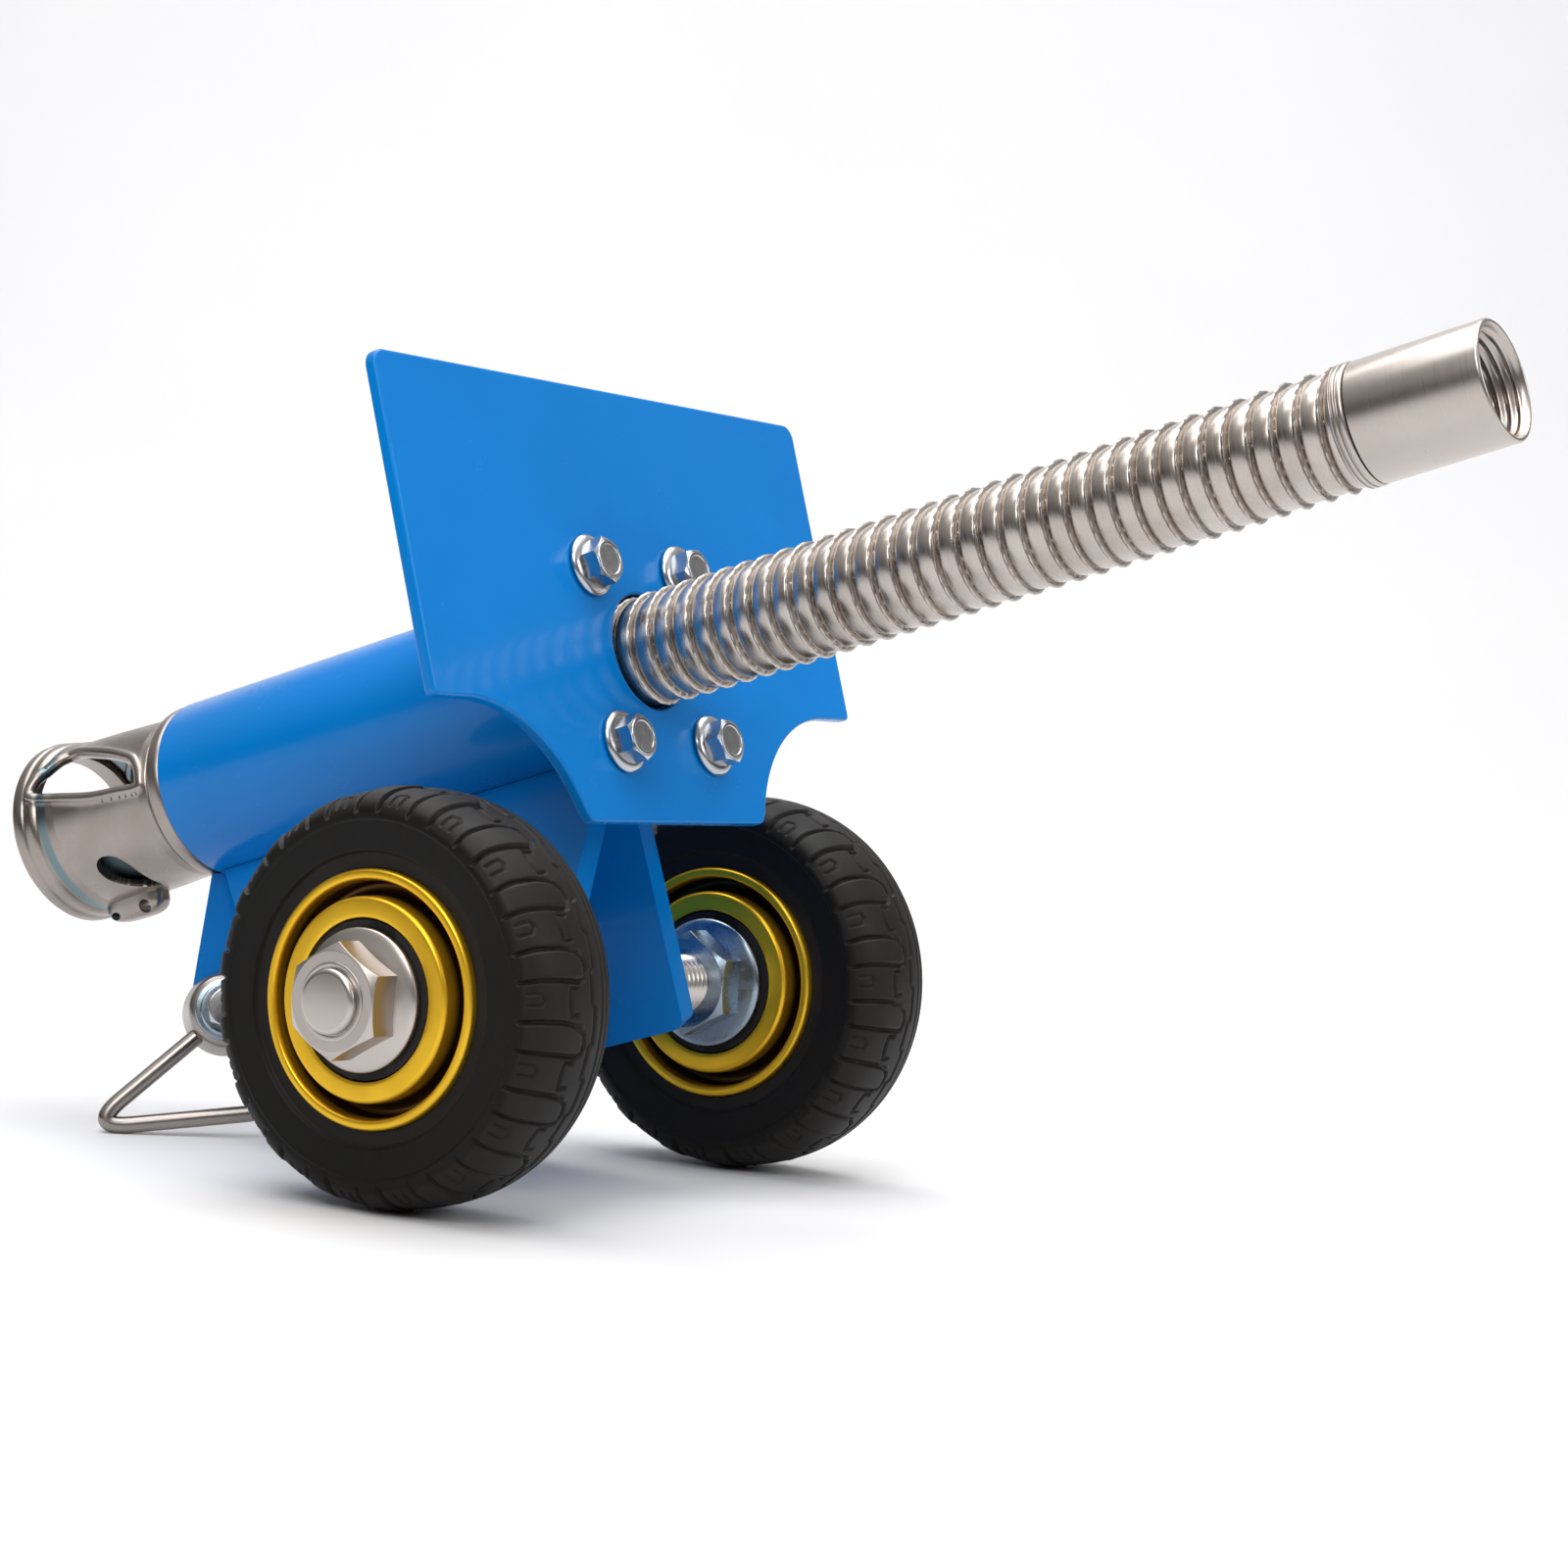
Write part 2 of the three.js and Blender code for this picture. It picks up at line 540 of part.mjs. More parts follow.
// ---- Rear coupling --------------------------------------------------------------------------------
// The collar is pressed into the end of the tube. Its spigot carries the bell, which a circlip keeps
// on and which turns to lock.
function addCollar() {
  const spigotEnd = BELL_START + SPIGOT_LENGTH;
  const bore = COUPLING_BORE;
  const clipFrom = spigotEnd - CIRCLIP_WIDTH - 2;
  const groove = SPIGOT_RADIUS - 2;
  const collar = turned([
    [bore, TUBE_END - SPIGOT_DEPTH],
    [TUBE_BORE - GAP, TUBE_END - SPIGOT_DEPTH],
    [TUBE_BORE - GAP, NECK_START],
    [NECK_RADIUS, NECK_START],
    [NECK_RADIUS, NECK_END],
    [SPIGOT_RADIUS, NECK_END],
    [SPIGOT_RADIUS, clipFrom],
    [groove, clipFrom],
    [groove, clipFrom + CIRCLIP_WIDTH],
    [SPIGOT_RADIUS, clipFrom + CIRCLIP_WIDTH],
    [SPIGOT_RADIUS, spigotEnd],
    [bore, spigotEnd],
  ]);
  addMesh(barrel, "coupling_collar", collar, steel);
  const clip = ring(groove + GAP, SPIGOT_RADIUS + 2.5, clipFrom + GAP, clipFrom + CIRCLIP_WIDTH - GAP);
  addMesh(barrel, "circlip", clip, brightZinc);
}

function bellShell() {
  const seatEnd = BELL_START + SPIGOT_LENGTH - CIRCLIP_WIDTH - 2 - GAP;
  const body = BELL_RADIUS - 4;
  return turned([
    [SPIGOT_RADIUS + RUNNING_GAP, BELL_START],
    [body - 1.5, BELL_START],
    [body, BELL_START + 1.5],
    [body + 1, BELL_START + 25],
    [body + 1.2, BELL_END - 15],
    [body + 2, BELL_END - 13.5],
    [body + 2, BELL_END - 10],
    [BELL_RADIUS - 0.8, BELL_END - 8.5],
    [BELL_RADIUS, BELL_END - 4],
    [BELL_RADIUS - 0.8, BELL_END],
    [BELL_MOUTH + 1, BELL_END],
    [BELL_MOUTH, BELL_END - 1],
    [BELL_MOUTH, BELL_START + 18],
    [BELL_MOUTH - 4, seatEnd],
    [SPIGOT_RADIUS + RUNNING_GAP, seatEnd],
  ], 32);
}

// A window seen from the side, in the barrel's Y and Z, cut through both walls.
function bellWindow() {
  const top = BELL_RADIUS - WINDOW_CROWN;
  const shape = roundedShape([
    [BELL_START + 5, top - 21.3, 2],
    [BELL_START + 30, top - 19.5, 2],
    [BELL_START + 54.5, top - 12.5, 3],
    [BELL_START + 46.5, top, 7],
    [BELL_START + 34, top - 1, 4],
    [BELL_START + 8, top - 10.5, 4],
  ]);
  return sidePlate(shape, -2 * BELL_RADIUS, 4 * BELL_RADIUS);
}

function addBell() {
  addMesh(barrel, "coupling_bell", cut(bellShell(), bellWindow()), steel);
}

// ---- Stand ----------------------------------------------------------------------------------------
// The stand's group stands on the pivot: +Y runs along the pivot bolt away from its head, +Z is the
// barrel's. The bracket hangs from the tube, the loop rests with its rear bend on the ground.
function addStand() {
  const stand = new THREE.Group();
  stand.position.set(PIVOT_X, PIVOT_Y, PIVOT_Z);
  stand.rotation.z = -PIVOT_TURN;
  barrel.add(stand);
  const half = STAND_COLLAR_LENGTH / 2;
  const bore = BOLT_RADIUS + RUNNING_GAP;
  const collar = turned([
    [bore, -half],
    [STAND_COLLAR_FACE, -half],
    [STAND_COLLAR_FACE + 0.8, 1 - half],
    [STAND_COLLAR_RADIUS, half - 1],
    [STAND_COLLAR_RADIUS - 0.8, half],
    [bore, half],
  ]);
  addMesh(stand, "stand_collar", collar, steel);
  const washerFace = -half - GAP;
  const headFace = washerFace - WASHER_THICKNESS - GAP;
  const washer = ring(bore, STAND_COLLAR_FACE - 1.2, headFace + GAP, washerFace);
  addMesh(stand, "stand_washer", washer, brightZinc);
  const bracketFace = half + GAP;
  const nutFace = bracketFace + BRACKET_THICKNESS + GAP;
  const nutEnd = nutFace + PIVOT_NUT_HEIGHT;
  const head = hexagon(BOLT_HEAD_FLATS, -headFace, PIVOT_HEAD_HEIGHT - headFace).rotateX(Math.PI);
  const shank = rod(BOLT_RADIUS, headFace, nutEnd + PIVOT_BOLT_PROUD, 16);
  addMesh(stand, "stand_pivot_bolt", join(shank, head), brightZinc);
  const nutBore = rod(BOLT_RADIUS + GAP, nutFace - 1, nutEnd + 1, 16);
  const nut = cut(hexagon(BOLT_HEAD_FLATS, nutFace, nutEnd), nutBore);
  addMesh(stand, "stand_pivot_nut", nut, brightZinc);
  addMesh(stand, "stand_loop", loopGeometry(), steel);
  addMesh(stand, "stand_bracket", bracketGeometry(bracketFace), paint);
}

// The loop lies in the stand group's XZ plane: out from the collar, round the rear bend that stands
// on the ground, along the foot, round the front bend and back to the collar.
function loopGeometry() {
  const rise = Math.sin(PIVOT_TURN) * Math.sin(ELEVATION); // of +X, in world Z
  const lift = Math.cos(ELEVATION); // of +Z
  const rear = new THREE.Vector3(-STAND_REACH_BACK, 0, 0);
  const slack = STAND_BEND * STAND_BEND_SAG;
  rear.z = -(PIVOT_HEIGHT - STAND_ROD_RADIUS + slack - STAND_REACH_BACK * rise) / lift;
  const front = new THREE.Vector3(STAND_REACH_FRONT, 0, rear.z - STAND_FOOT_FALL);
  const start = rear.clone().setLength(STAND_COLLAR_RADIUS + GAP);
  const finish = front.clone().setLength(STAND_COLLAR_RADIUS + GAP);
  const path = new THREE.CurvePath();
  const corners = [[start, rear, front, STAND_BEND], [rear, front, finish, STAND_FRONT_BEND]];
  const bends = corners.map(([a, b, c, size]) => {
    const into = a.clone().sub(b).setLength(size).add(b);
    const out = c.clone().sub(b).setLength(size).add(b);
    return new THREE.QuadraticBezierCurve3(into, b.clone(), out);
  });
  path.add(new THREE.LineCurve3(start, bends[0].v0));
  path.add(bends[0]);
  path.add(new THREE.LineCurve3(bends[0].v2, bends[1].v0));
  path.add(bends[1]);
  path.add(new THREE.LineCurve3(bends[1].v2, finish));
  const section = new THREE.Shape().absarc(0, 0, STAND_ROD_RADIUS, 0, 2 * Math.PI);
  return new THREE.ExtrudeGeometry(section, { steps: 40, curveSegments: 8, extrudePath: path });
}

// The bracket leans forward from the pivot to the tube and is cut to fit the tube and the legs.
function bracketGeometry(face) {
  const lug = BRACKET_LUG_RADIUS;
  const half = BRACKET_WIDTH / 2;
  const top = -PIVOT_Z - TUBE_RADIUS + 6;
  const shape = new THREE.Shape();
  shape.absarc(0, 0, lug, Math.PI * 0.92, Math.PI * 1.86);
  shape.lineTo(BRACKET_LEAN + half, top);
  shape.lineTo(BRACKET_LEAN - half, top);
  shape.closePath();
  addCircleHole(shape, 0, 0, BOLT_RADIUS + GAP);
  const geometry = plate(shape, BRACKET_THICKNESS, 8);
  geometry.rotateX(Math.PI / 2);
  geometry.translate(0, face + BRACKET_THICKNESS, 0);
  const tube = rod(TUBE_RADIUS + GAP, 0, BELL_END, 32);
  const bell = rod(BELL_RADIUS + GAP, NECK_END + GAP, BELL_END, 32);
  const neighbours = [tube, bell, legBlank(-1, GAP), legBlank(1, GAP)];
  for (const tool of neighbours) {
    tool.translate(-PIVOT_X, -PIVOT_Y, -PIVOT_Z);
    tool.rotateZ(PIVOT_TURN);
  }
  return cut(geometry, ...neighbours);
}

// ---- Assembly -------------------------------------------------------------------------------------
addShield();
addTubeFlange();
addShieldBolts();
addHose();
addMuzzle();
addCollar();
addBell();
addStand();
for (const [side, sign] of [["left", -1], ["right", 1]]) {
  addLeg(side, sign);
  addStub(side, sign);
  addWheel(side, sign);
}

group.updateMatrixWorld(true);
const box = new THREE.Box3().setFromObject(group, true);
const middle = box.getCenter(new THREE.Vector3());
group.children.forEach((child) => {
  child.position.x -= middle.x;
  child.position.y -= middle.y;
  child.position.z -= box.min.z;
});

export default group;
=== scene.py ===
"""Drain snake guide: visual pieces, materials and studio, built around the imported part."""

import json
import math

import bmesh
import bpy
import numpy as np
from mathutils import Matrix, Vector


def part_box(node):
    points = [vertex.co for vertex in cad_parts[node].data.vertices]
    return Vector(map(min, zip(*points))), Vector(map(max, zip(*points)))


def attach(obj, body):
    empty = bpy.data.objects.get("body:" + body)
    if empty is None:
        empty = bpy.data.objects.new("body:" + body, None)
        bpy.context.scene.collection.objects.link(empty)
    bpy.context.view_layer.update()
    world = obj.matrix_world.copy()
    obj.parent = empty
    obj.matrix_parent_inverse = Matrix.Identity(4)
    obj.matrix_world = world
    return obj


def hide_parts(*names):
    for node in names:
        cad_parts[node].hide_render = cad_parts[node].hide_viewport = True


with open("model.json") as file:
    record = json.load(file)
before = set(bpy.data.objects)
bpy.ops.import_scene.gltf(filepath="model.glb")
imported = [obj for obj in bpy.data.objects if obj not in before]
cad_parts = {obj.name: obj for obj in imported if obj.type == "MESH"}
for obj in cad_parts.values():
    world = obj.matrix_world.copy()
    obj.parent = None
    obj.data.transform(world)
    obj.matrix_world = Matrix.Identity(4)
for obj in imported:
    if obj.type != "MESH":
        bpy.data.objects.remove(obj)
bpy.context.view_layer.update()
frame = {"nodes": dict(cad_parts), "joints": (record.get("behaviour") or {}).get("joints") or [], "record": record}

MM = 0.001
TURN = 2 * math.pi

# ---- Where things are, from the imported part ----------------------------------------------
JOINTS = {joint["name"]: joint for joint in frame["joints"]}
MOUNTS = {mount["name"]: mount for mount in frame["record"]["mounts"]}
MUZZLE_REACH = 289  # of the muzzle's face in front of the shield, in mm


def middle(node):
    low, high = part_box(node)
    return (low + high) / 2


def axes_matrix(origin, x, y, z):
    """The matrix of a local frame with these axes."""
    matrix = Matrix((x, y, z)).transposed().to_4x4()
    matrix.translation = origin
    return matrix


def barrel_frame():
    """Origin where the barrel axis meets the shield's front, +Y backwards along the barrel."""
    along = Vector(JOINTS["bell_turn"]["axis"])
    point = Vector(JOINTS["bell_turn"]["pos_m"])
    muzzle = Vector(MOUNTS["muzzle_face"]["pos_m"])
    origin = point + along * ((muzzle - point).dot(along) + MUZZLE_REACH * MM)
    across = Vector((1, 0, 0))
    return axes_matrix(origin, across, along, across.cross(along))


def wheel_frame(side, sign):
    """Origin mid-wheel, +Y out of the machine."""
    outward = Vector((sign, 0, 0))
    up = Vector((0, 0, 1))
    return axes_matrix(middle(side + "_tyre"), outward.cross(up), outward, up)


BARREL = barrel_frame()
WHEELS = {"left": wheel_frame("left", -1), "right": wheel_frame("right", 1)}


def stand_frame():
    """Origin at the pivot, +Y along the pivot bolt away from its head, +Z square to the barrel."""
    away = -Vector(JOINTS["stand_fold"]["axis"])
    up = BARREL.to_3x3() @ Vector((0, 0, 1))
    return axes_matrix(Vector(JOINTS["stand_fold"]["pos_m"]), away.cross(up), away, up)


STAND = stand_frame()


# ---- Mesh building -----------------------------------------------------------------------
def grid_faces(rows, columns, close_rows, close_columns):
    """Quads over a rows x columns grid of points, wrapped round where it is closed."""
    i = np.arange(rows if close_rows else rows - 1)
    j = np.arange(columns if close_columns else columns - 1)
    i, j = np.meshgrid(i, j, indexing="ij")
    i2, j2 = (i + 1) % rows, (j + 1) % columns
    corners = (i * columns + j, i2 * columns + j, i2 * columns + j2, i * columns + j2)
    return np.stack(corners, -1).reshape(-1, 4)


def shell(points, close_rows=True, close_columns=True):
    """A mesh part (vertices in mm, faces) from a grid of points."""
    rows, columns = points.shape[:2]
    return points.reshape(-1, 3), grid_faces(rows, columns, close_rows, close_columns)


def rounded(profile, size=0.4, steps=3, closed=True):
    """Rounds the corners of a [radius, y] or [radius, y, size] profile."""
    plain = [np.array(point[:2], float) for point in profile]
    sizes = [point[2] if len(point) > 2 else size for point in profile]
    result = []
    for i, here in enumerate(plain):
        if not closed and i in (0, len(plain) - 1):
            result.append(here)
            continue
        before, after = plain[i - 1] - here, plain[(i + 1) % len(plain)] - here
        limit = 0.45 * min(np.linalg.norm(before), np.linalg.norm(after))
        reach = min(sizes[i], limit)
        a = here + before / np.linalg.norm(before) * reach
        b = here + after / np.linalg.norm(after) * reach
        for k in range(steps + 1):
            t = k / steps
            result.append((1 - t) ** 2 * a + 2 * t * (1 - t) * here + t * t * b)
    return np.array(result)


def turn_points(radius, y, segments):
    """Points of a body turned about +Y; radius and y may vary with the angle."""
    angle = np.arange(segments) * TURN / segments
    radius = np.broadcast_to(radius, (segments, np.shape(radius)[-1]))
    y = np.broadcast_to(y, radius.shape)
    return np.stack([radius * np.cos(angle)[:, None], y, radius * np.sin(angle)[:, None]], -1)


def turned(profile, segments=96, size=0.4, closed=True):
    profile = rounded(profile, size, closed=closed)
    return shell(turn_points(profile[:, 0], profile[:, 1], segments), True, closed)


def ring(bore, radius, start, end, segments=96, size=0.4):
    return turned([(bore, start), (radius, start), (radius, end), (bore, end)], segments, size)


def hexagon(across_flats, start, end, top_radius, segments=144):
    """A hexagonal head about +Y, chamfered by a cone at its far end."""
    angle = np.arange(segments) * TURN / segments
    radius = across_flats / 2 / np.cos((angle + TURN / 12) % (TURN / 6) - TURN / 12)
    chamfer = end - np.maximum(radius - top_radius, 0) * math.tan(math.radians(30))
    rows = [
        (np.zeros(segments), np.full(segments, start)),
        (radius, np.full(segments, start)),
        (radius, chamfer),
        (np.full(segments, top_radius), np.full(segments, end)),
        (np.zeros(segments), np.full(segments, end)),
    ]
    radii = np.stack([row[0] for row in rows], -1)
    return shell(turn_points(radii, np.stack([row[1] for row in rows], -1), segments), True, False)


def threaded(radius, start, end, pitch, depth, segments=64):
    """A threaded rod's outside about +Y, closed at both ends."""
    y = np.arange(start, end, pitch / 8)
    angle = np.arange(segments) / segments
    phase = (y[None, :] / pitch - angle[:, None]) % 1
    ridge = radius - depth * (1 - np.abs(2 * phase - 1)) ** 1.2
    edge = np.full((segments, 1), radius - depth)
    radii = np.hstack([edge * 0, edge, ridge, edge, edge * 0])
    ys = np.concatenate([[start, start], y, [end, end]])
    return shell(turn_points(radii, ys, segments), True, False)


def merged(*parts):
    vertices, faces, offset = [], [], 0
    for points, quads in parts:
        vertices.append(points)
        faces.append(quads + offset)
        offset += len(points)
    return np.vstack(vertices), np.vstack(faces)


def make_mesh(name, part, sharp=32):
    """A Blender mesh in metres from a mesh part in mm, with merged poles and outward normals."""
    points, faces = part
    mesh = bpy.data.meshes.new(name)
    mesh.from_pydata((points * MM).tolist(), [], faces.tolist())
    work = bmesh.new()
    work.from_mesh(mesh)
    bmesh.ops.remove_doubles(work, verts=work.verts, dist=2e-6)
    bmesh.ops.recalc_face_normals(work, faces=work.faces)
    work.to_mesh(mesh)
    work.free()
    mesh.shade_smooth()
    mesh.set_sharp_from_angle(angle=math.radians(sharp))
    return mesh


def place(name, mesh, matrix, body, material, replaces=()):
    """Puts a mesh into the scene, riding on a body and standing for CAD nodes."""
    piece = bpy.data.objects.new(name, mesh)
    bpy.context.scene.collection.objects.link(piece)
    piece.matrix_world = matrix
    if not mesh.materials:
        mesh.materials.append(material)
    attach(piece, body)
    if replaces:
        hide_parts(*replaces)
    return piece


def add(name, part, matrix, body, material, replaces=(), sharp=32):
    return place(name, make_mesh(name, part, sharp), matrix, body, material, replaces)


def bevelled(piece, width, segments=3, angle=30):
    modifier = piece.modifiers.new("edges", "BEVEL")
    modifier.width = width * MM
    modifier.segments = segments
    modifier.limit_method = "ANGLE"
    modifier.angle_limit = math.radians(angle)
    modifier.harden_normals = False
    return piece


def shifted(part, x=0, y=0, z=0):
    return part[0] + np.array([x, y, z], float), part[1]


def rotated(part, matrix):
    return part[0] @ np.array(matrix).T, part[1]


# ---- Materials ---------------------------------------------------------------------------
class Shader:
    """A small builder for a Principled material's node tree."""

    def __init__(self, name):
        self.material = bpy.data.materials.new(name)
        self.material.use_nodes = True
        self.tree = self.material.node_tree
        self.tree.nodes.clear()
        self.surface = self.new("ShaderNodeBsdfPrincipled")
        output = self.new("ShaderNodeOutputMaterial")
        self.link(self.surface.outputs["BSDF"], output.inputs["Surface"])
        self.where = self.new("ShaderNodeTexCoord").outputs["Object"]

    def new(self, kind, **values):
        node = self.tree.nodes.new(kind)
        for key, value in values.items():
            setattr(node, key, value)
        return node

    def link(self, source, target):
        self.tree.links.new(source, target)

    def set(self, **values):
        for key, value in values.items():
            self.surface.inputs[key.replace("_", " ")].default_value = value

    def noise(self, scale, stretch=(1, 1, 1), detail=4.0, roughness=0.55):
        mapping = self.new("ShaderNodeMapping")
        mapping.inputs["Scale"].default_value = stretch
        self.link(self.where, mapping.inputs["Vector"])
        node = self.new("ShaderNodeTexNoise")
        node.inputs["Scale"].default_value = scale
        node.inputs["Detail"].default_value = detail
        node.inputs["Roughness"].default_value = roughness
        self.link(mapping.outputs["Vector"], node.inputs["Vector"])
        return node.outputs["Fac"]

    def ramp(self, value, stops):
        node = self.new("ShaderNodeValToRGB")
        elements = node.color_ramp.elements
        while len(elements) < len(stops):
            elements.new(0.5)
        for element, (position, colour) in zip(elements, stops):
            element.position = position
            element.color = (*colour, 1.0)
        self.link(value, node.inputs["Fac"])
        return node.outputs["Color"]

    def spread(self, value, low, high):
        node = self.new("ShaderNodeMapRange")
        node.inputs["From Min"].default_value = 0.3
        node.inputs["From Max"].default_value = 0.7
        node.inputs["To Min"].default_value = low
        node.inputs["To Max"].default_value = high
        self.link(value, node.inputs["Value"])
        return node.outputs["Result"]

    def bump(self, layers):
        """Stacks (height, distance in mm, strength) bumps."""
        normal = None
        for height, distance, strength in layers:
            node = self.new("ShaderNodeBump")
            node.inputs["Distance"].default_value = distance * MM
            node.inputs["Strength"].default_value = strength
            self.link(height, node.inputs["Height"])
            if normal is not None:
                self.link(normal, node.inputs["Normal"])
            normal = node.outputs["Normal"]
        self.link(normal, self.surface.inputs["Normal"])

    def axis(self, name):
        split = self.new("ShaderNodeSeparateXYZ")
        self.link(self.where, split.inputs["Vector"])
        return split.outputs[name]

    def window(self, value, low, high, soft):
        """1 where a length in mm is between low and high, with a soft edge."""
        rise, fall = self.new("ShaderNodeMapRange"), self.new("ShaderNodeMapRange")
        for node, start, end in ((rise, low - soft, low + soft), (fall, high + soft, high - soft)):
            node.inputs["From Min"].default_value = start * MM
            node.inputs["From Max"].default_value = end * MM
            self.link(value, node.inputs["Value"])
        both = self.new("ShaderNodeMath", operation="MULTIPLY")
        self.link(rise.outputs["Result"], both.inputs[0])
        self.link(fall.outputs["Result"], both.inputs[1])
        return both.outputs["Value"]

    def size_of(self, value):
        node = self.new("ShaderNodeMath", operation="ABSOLUTE")
        self.link(value, node.inputs[0])
        return node.outputs["Value"]

    def mix_colour(self, mask, colour):
        """Lays a plain colour over the base colour where the mask is 1."""
        base = self.surface.inputs["Base Color"].links[0].from_socket
        mix = self.new("ShaderNodeMix", data_type="RGBA")
        self.link(mask, mix.inputs["Factor"])
        self.link(base, mix.inputs["A"])
        mix.inputs["B"].default_value = (*colour, 1)
        self.link(mix.outputs["Result"], self.surface.inputs["Base Color"])

    def colour(self, value, *stops):
        self.link(self.ramp(value, stops), self.surface.inputs["Base Color"])

    def rough(self, value, low, high):
        self.link(self.spread(value, low, high), self.surface.inputs["Roughness"])


def paint_material():
    shader = Shader("blue_paint")
    cloud = shader.noise(14, detail=3)
    shader.colour(cloud, (0.25, (0.0, 0.165, 0.520)), (0.75, (0.0, 0.190, 0.580)))
    shader.rough(shader.noise(60), 0.20, 0.28)
    shader.set(Coat_Weight=0.16, Coat_Roughness=0.05, Specular_IOR_Level=0.16)
    shader.bump([(shader.noise(420, detail=2), 0.05, 0.25), (shader.noise(45, detail=2), 0.12, 0.12)])
    return shader.material


def turned_steel(name, dark, light, rough, rings=2600, bump=0.12):
    """Steel with fine rings about the piece's own Y axis."""
    shader = Shader(name)
    shader.colour(shader.noise(9, detail=5), (0.3, dark), (0.7, light))
    fine = shader.noise(1, (30, rings, 30), detail=3)
    shader.rough(fine, *rough)
    shader.set(Metallic=1.0)
    shader.bump([(fine, 0.02, bump), (shader.noise(160, detail=4), 0.04, 0.08)])
    return shader.material


def cast_steel():
    shader = Shader("cast_steel")
    shader.colour(shader.noise(35, detail=5), (0.3, (0.28, 0.245, 0.22)), (0.7, (0.38, 0.34, 0.31)))
    # Painted shade: a dark teal band in the bell's groove, 234.8 to 238.6 mm along the barrel axis.
    shader.mix_colour(shader.window(shader.axis("Y"), 234.8, 238.6, 0.5), (0.16, 0.22, 0.24))
    shader.rough(shader.noise(120), 0.26, 0.38)
    shader.set(Metallic=1.0)
    shader.bump([(shader.noise(900, detail=3), 0.03, 0.35), (shader.noise(55, detail=3), 0.2, 0.10)])
    return shader.material


def zinc(name, dark, light, rough=(0.16, 0.30)):
    shader = Shader(name)
    shader.colour(shader.noise(70, detail=6), (0.3, dark), (0.7, light))
    shader.rough(shader.noise(220, detail=5), *rough)
    shader.set(Metallic=1.0)
    shader.bump([(shader.noise(500, detail=3), 0.03, 0.2)])
    return shader.material


def gold_zinc():
    shader = Shader("gold_zinc")
    cloud = shader.noise(28, detail=5)
    shader.colour(cloud, (0.3, (0.70, 0.405, 0.018)), (0.7, (0.82, 0.505, 0.03)))
    # Painted shade: dark brown deep in the rim's groove between the outer lip and the hub ring, where |Y| is 9.0
    # to 17.4 mm.
    depth = shader.size_of(shader.axis("Y"))
    shader.mix_colour(shader.window(depth, 9.0, 17.4, 1.2), (0.075, 0.038, 0.008))
    shader.rough(shader.noise(90), 0.28, 0.40)
    shader.set(Metallic=0.85)
    fine = shader.noise(1, (20, 1800, 20), detail=2)
    shader.bump([(fine, 0.03, 0.12), (shader.noise(300), 0.03, 0.1)])
    return shader.material


def rubber(name, dark, light, rough):
    shader = Shader(name)
    shader.colour(shader.noise(40, detail=6), (0.3, dark), (0.7, light))
    # Painted shade: the flat sides, where |Y| is 20.4 to 30.0 mm, at half the base tone.
    side = shader.size_of(shader.axis("Y"))
    shader.mix_colour(shader.window(side, 20.4, 30.0, 0.25), tuple(0.5 * value for value in dark))
    shader.rough(shader.noise(25, detail=4), *rough)
    shader.set(Specular_IOR_Level=0.20)
    shader.bump([(shader.noise(700, detail=4), 0.06, 0.35), (shader.noise(60, detail=3), 0.12, 0.2)])
    return shader.material


def hose_steel():
    shader = Shader("hose_steel")
    shader.colour(shader.noise(60, detail=4), (0.3, (0.42, 0.375, 0.34)), (0.7, (0.52, 0.475, 0.435)))
    streaks = shader.noise(1, (25, 1500, 25), detail=3)
    shader.rough(streaks, 0.23, 0.33)
    shader.set(Metallic=1.0)
    shader.bump([(streaks, 0.02, 0.1), (shader.noise(240, detail=3), 0.04, 0.1)])
    return shader.material


PAINT = paint_material()
CAST = cast_steel()
FERRULE = turned_steel("ferrule_steel", (0.44, 0.395, 0.36), (0.54, 0.495, 0.46), (0.27, 0.33),
                       2600, 0.03)
NUT = turned_steel("nut_steel", (0.47, 0.43, 0.40), (0.58, 0.54, 0.505), (0.27, 0.36), 1200, 0.06)
HOSE = hose_steel()
STAND_STEEL = turned_steel("stand_steel", (0.27, 0.24, 0.22), (0.36, 0.325, 0.30), (0.24, 0.34),
                           900, 0.08)
ZINC = zinc("bright_zinc", (0.42, 0.43, 0.45), (0.58, 0.59, 0.61))
BLUE_ZINC = zinc("blue_zinc", (0.25, 0.32, 0.38), (0.38, 0.46, 0.54), (0.22, 0.34))
# Painted shade: near-black teal for the liner that stands for the shaded inside of the bell.
INTERIOR_SHADE = zinc("painted_interior_shade", (0.035, 0.06, 0.07), (0.07, 0.10, 0.115), (0.3, 0.45))
GOLD = gold_zinc()
TYRE = rubber("tyre_rubber", (0.0070, 0.0058, 0.0050), (0.0125, 0.0108, 0.0095), (0.46, 0.60))
SEAL = rubber("seal_rubber", (0.012, 0.011, 0.011), (0.02, 0.019, 0.019), (0.45, 0.6))
BEARING = turned_steel("bearing_steel", (0.58, 0.59, 0.60), (0.70, 0.71, 0.73), (0.12, 0.2),
                       2000, 0.05)


# ---- Tyres -------------------------------------------------------------------------------
TYRE_RADIUS = 62.5
TYRE_HALF = 21.25
CROWN_HEIGHT = 9.2  # of the tread's middle above its edges
CROWN_POWER = 2.35
TREAD_COUNT = 18
TREAD_PITCH = TURN * TYRE_RADIUS / TREAD_COUNT
TREAD_WIDTH = 50.0  # over the arch, from one edge of the tread to the other
GROOVE_WIDTH = 0.55
GROOVE_DEPTH = 1.15


def smooth_step(value):
    value = np.clip(value, 0, 1)
    return value * value * (3 - 2 * value)


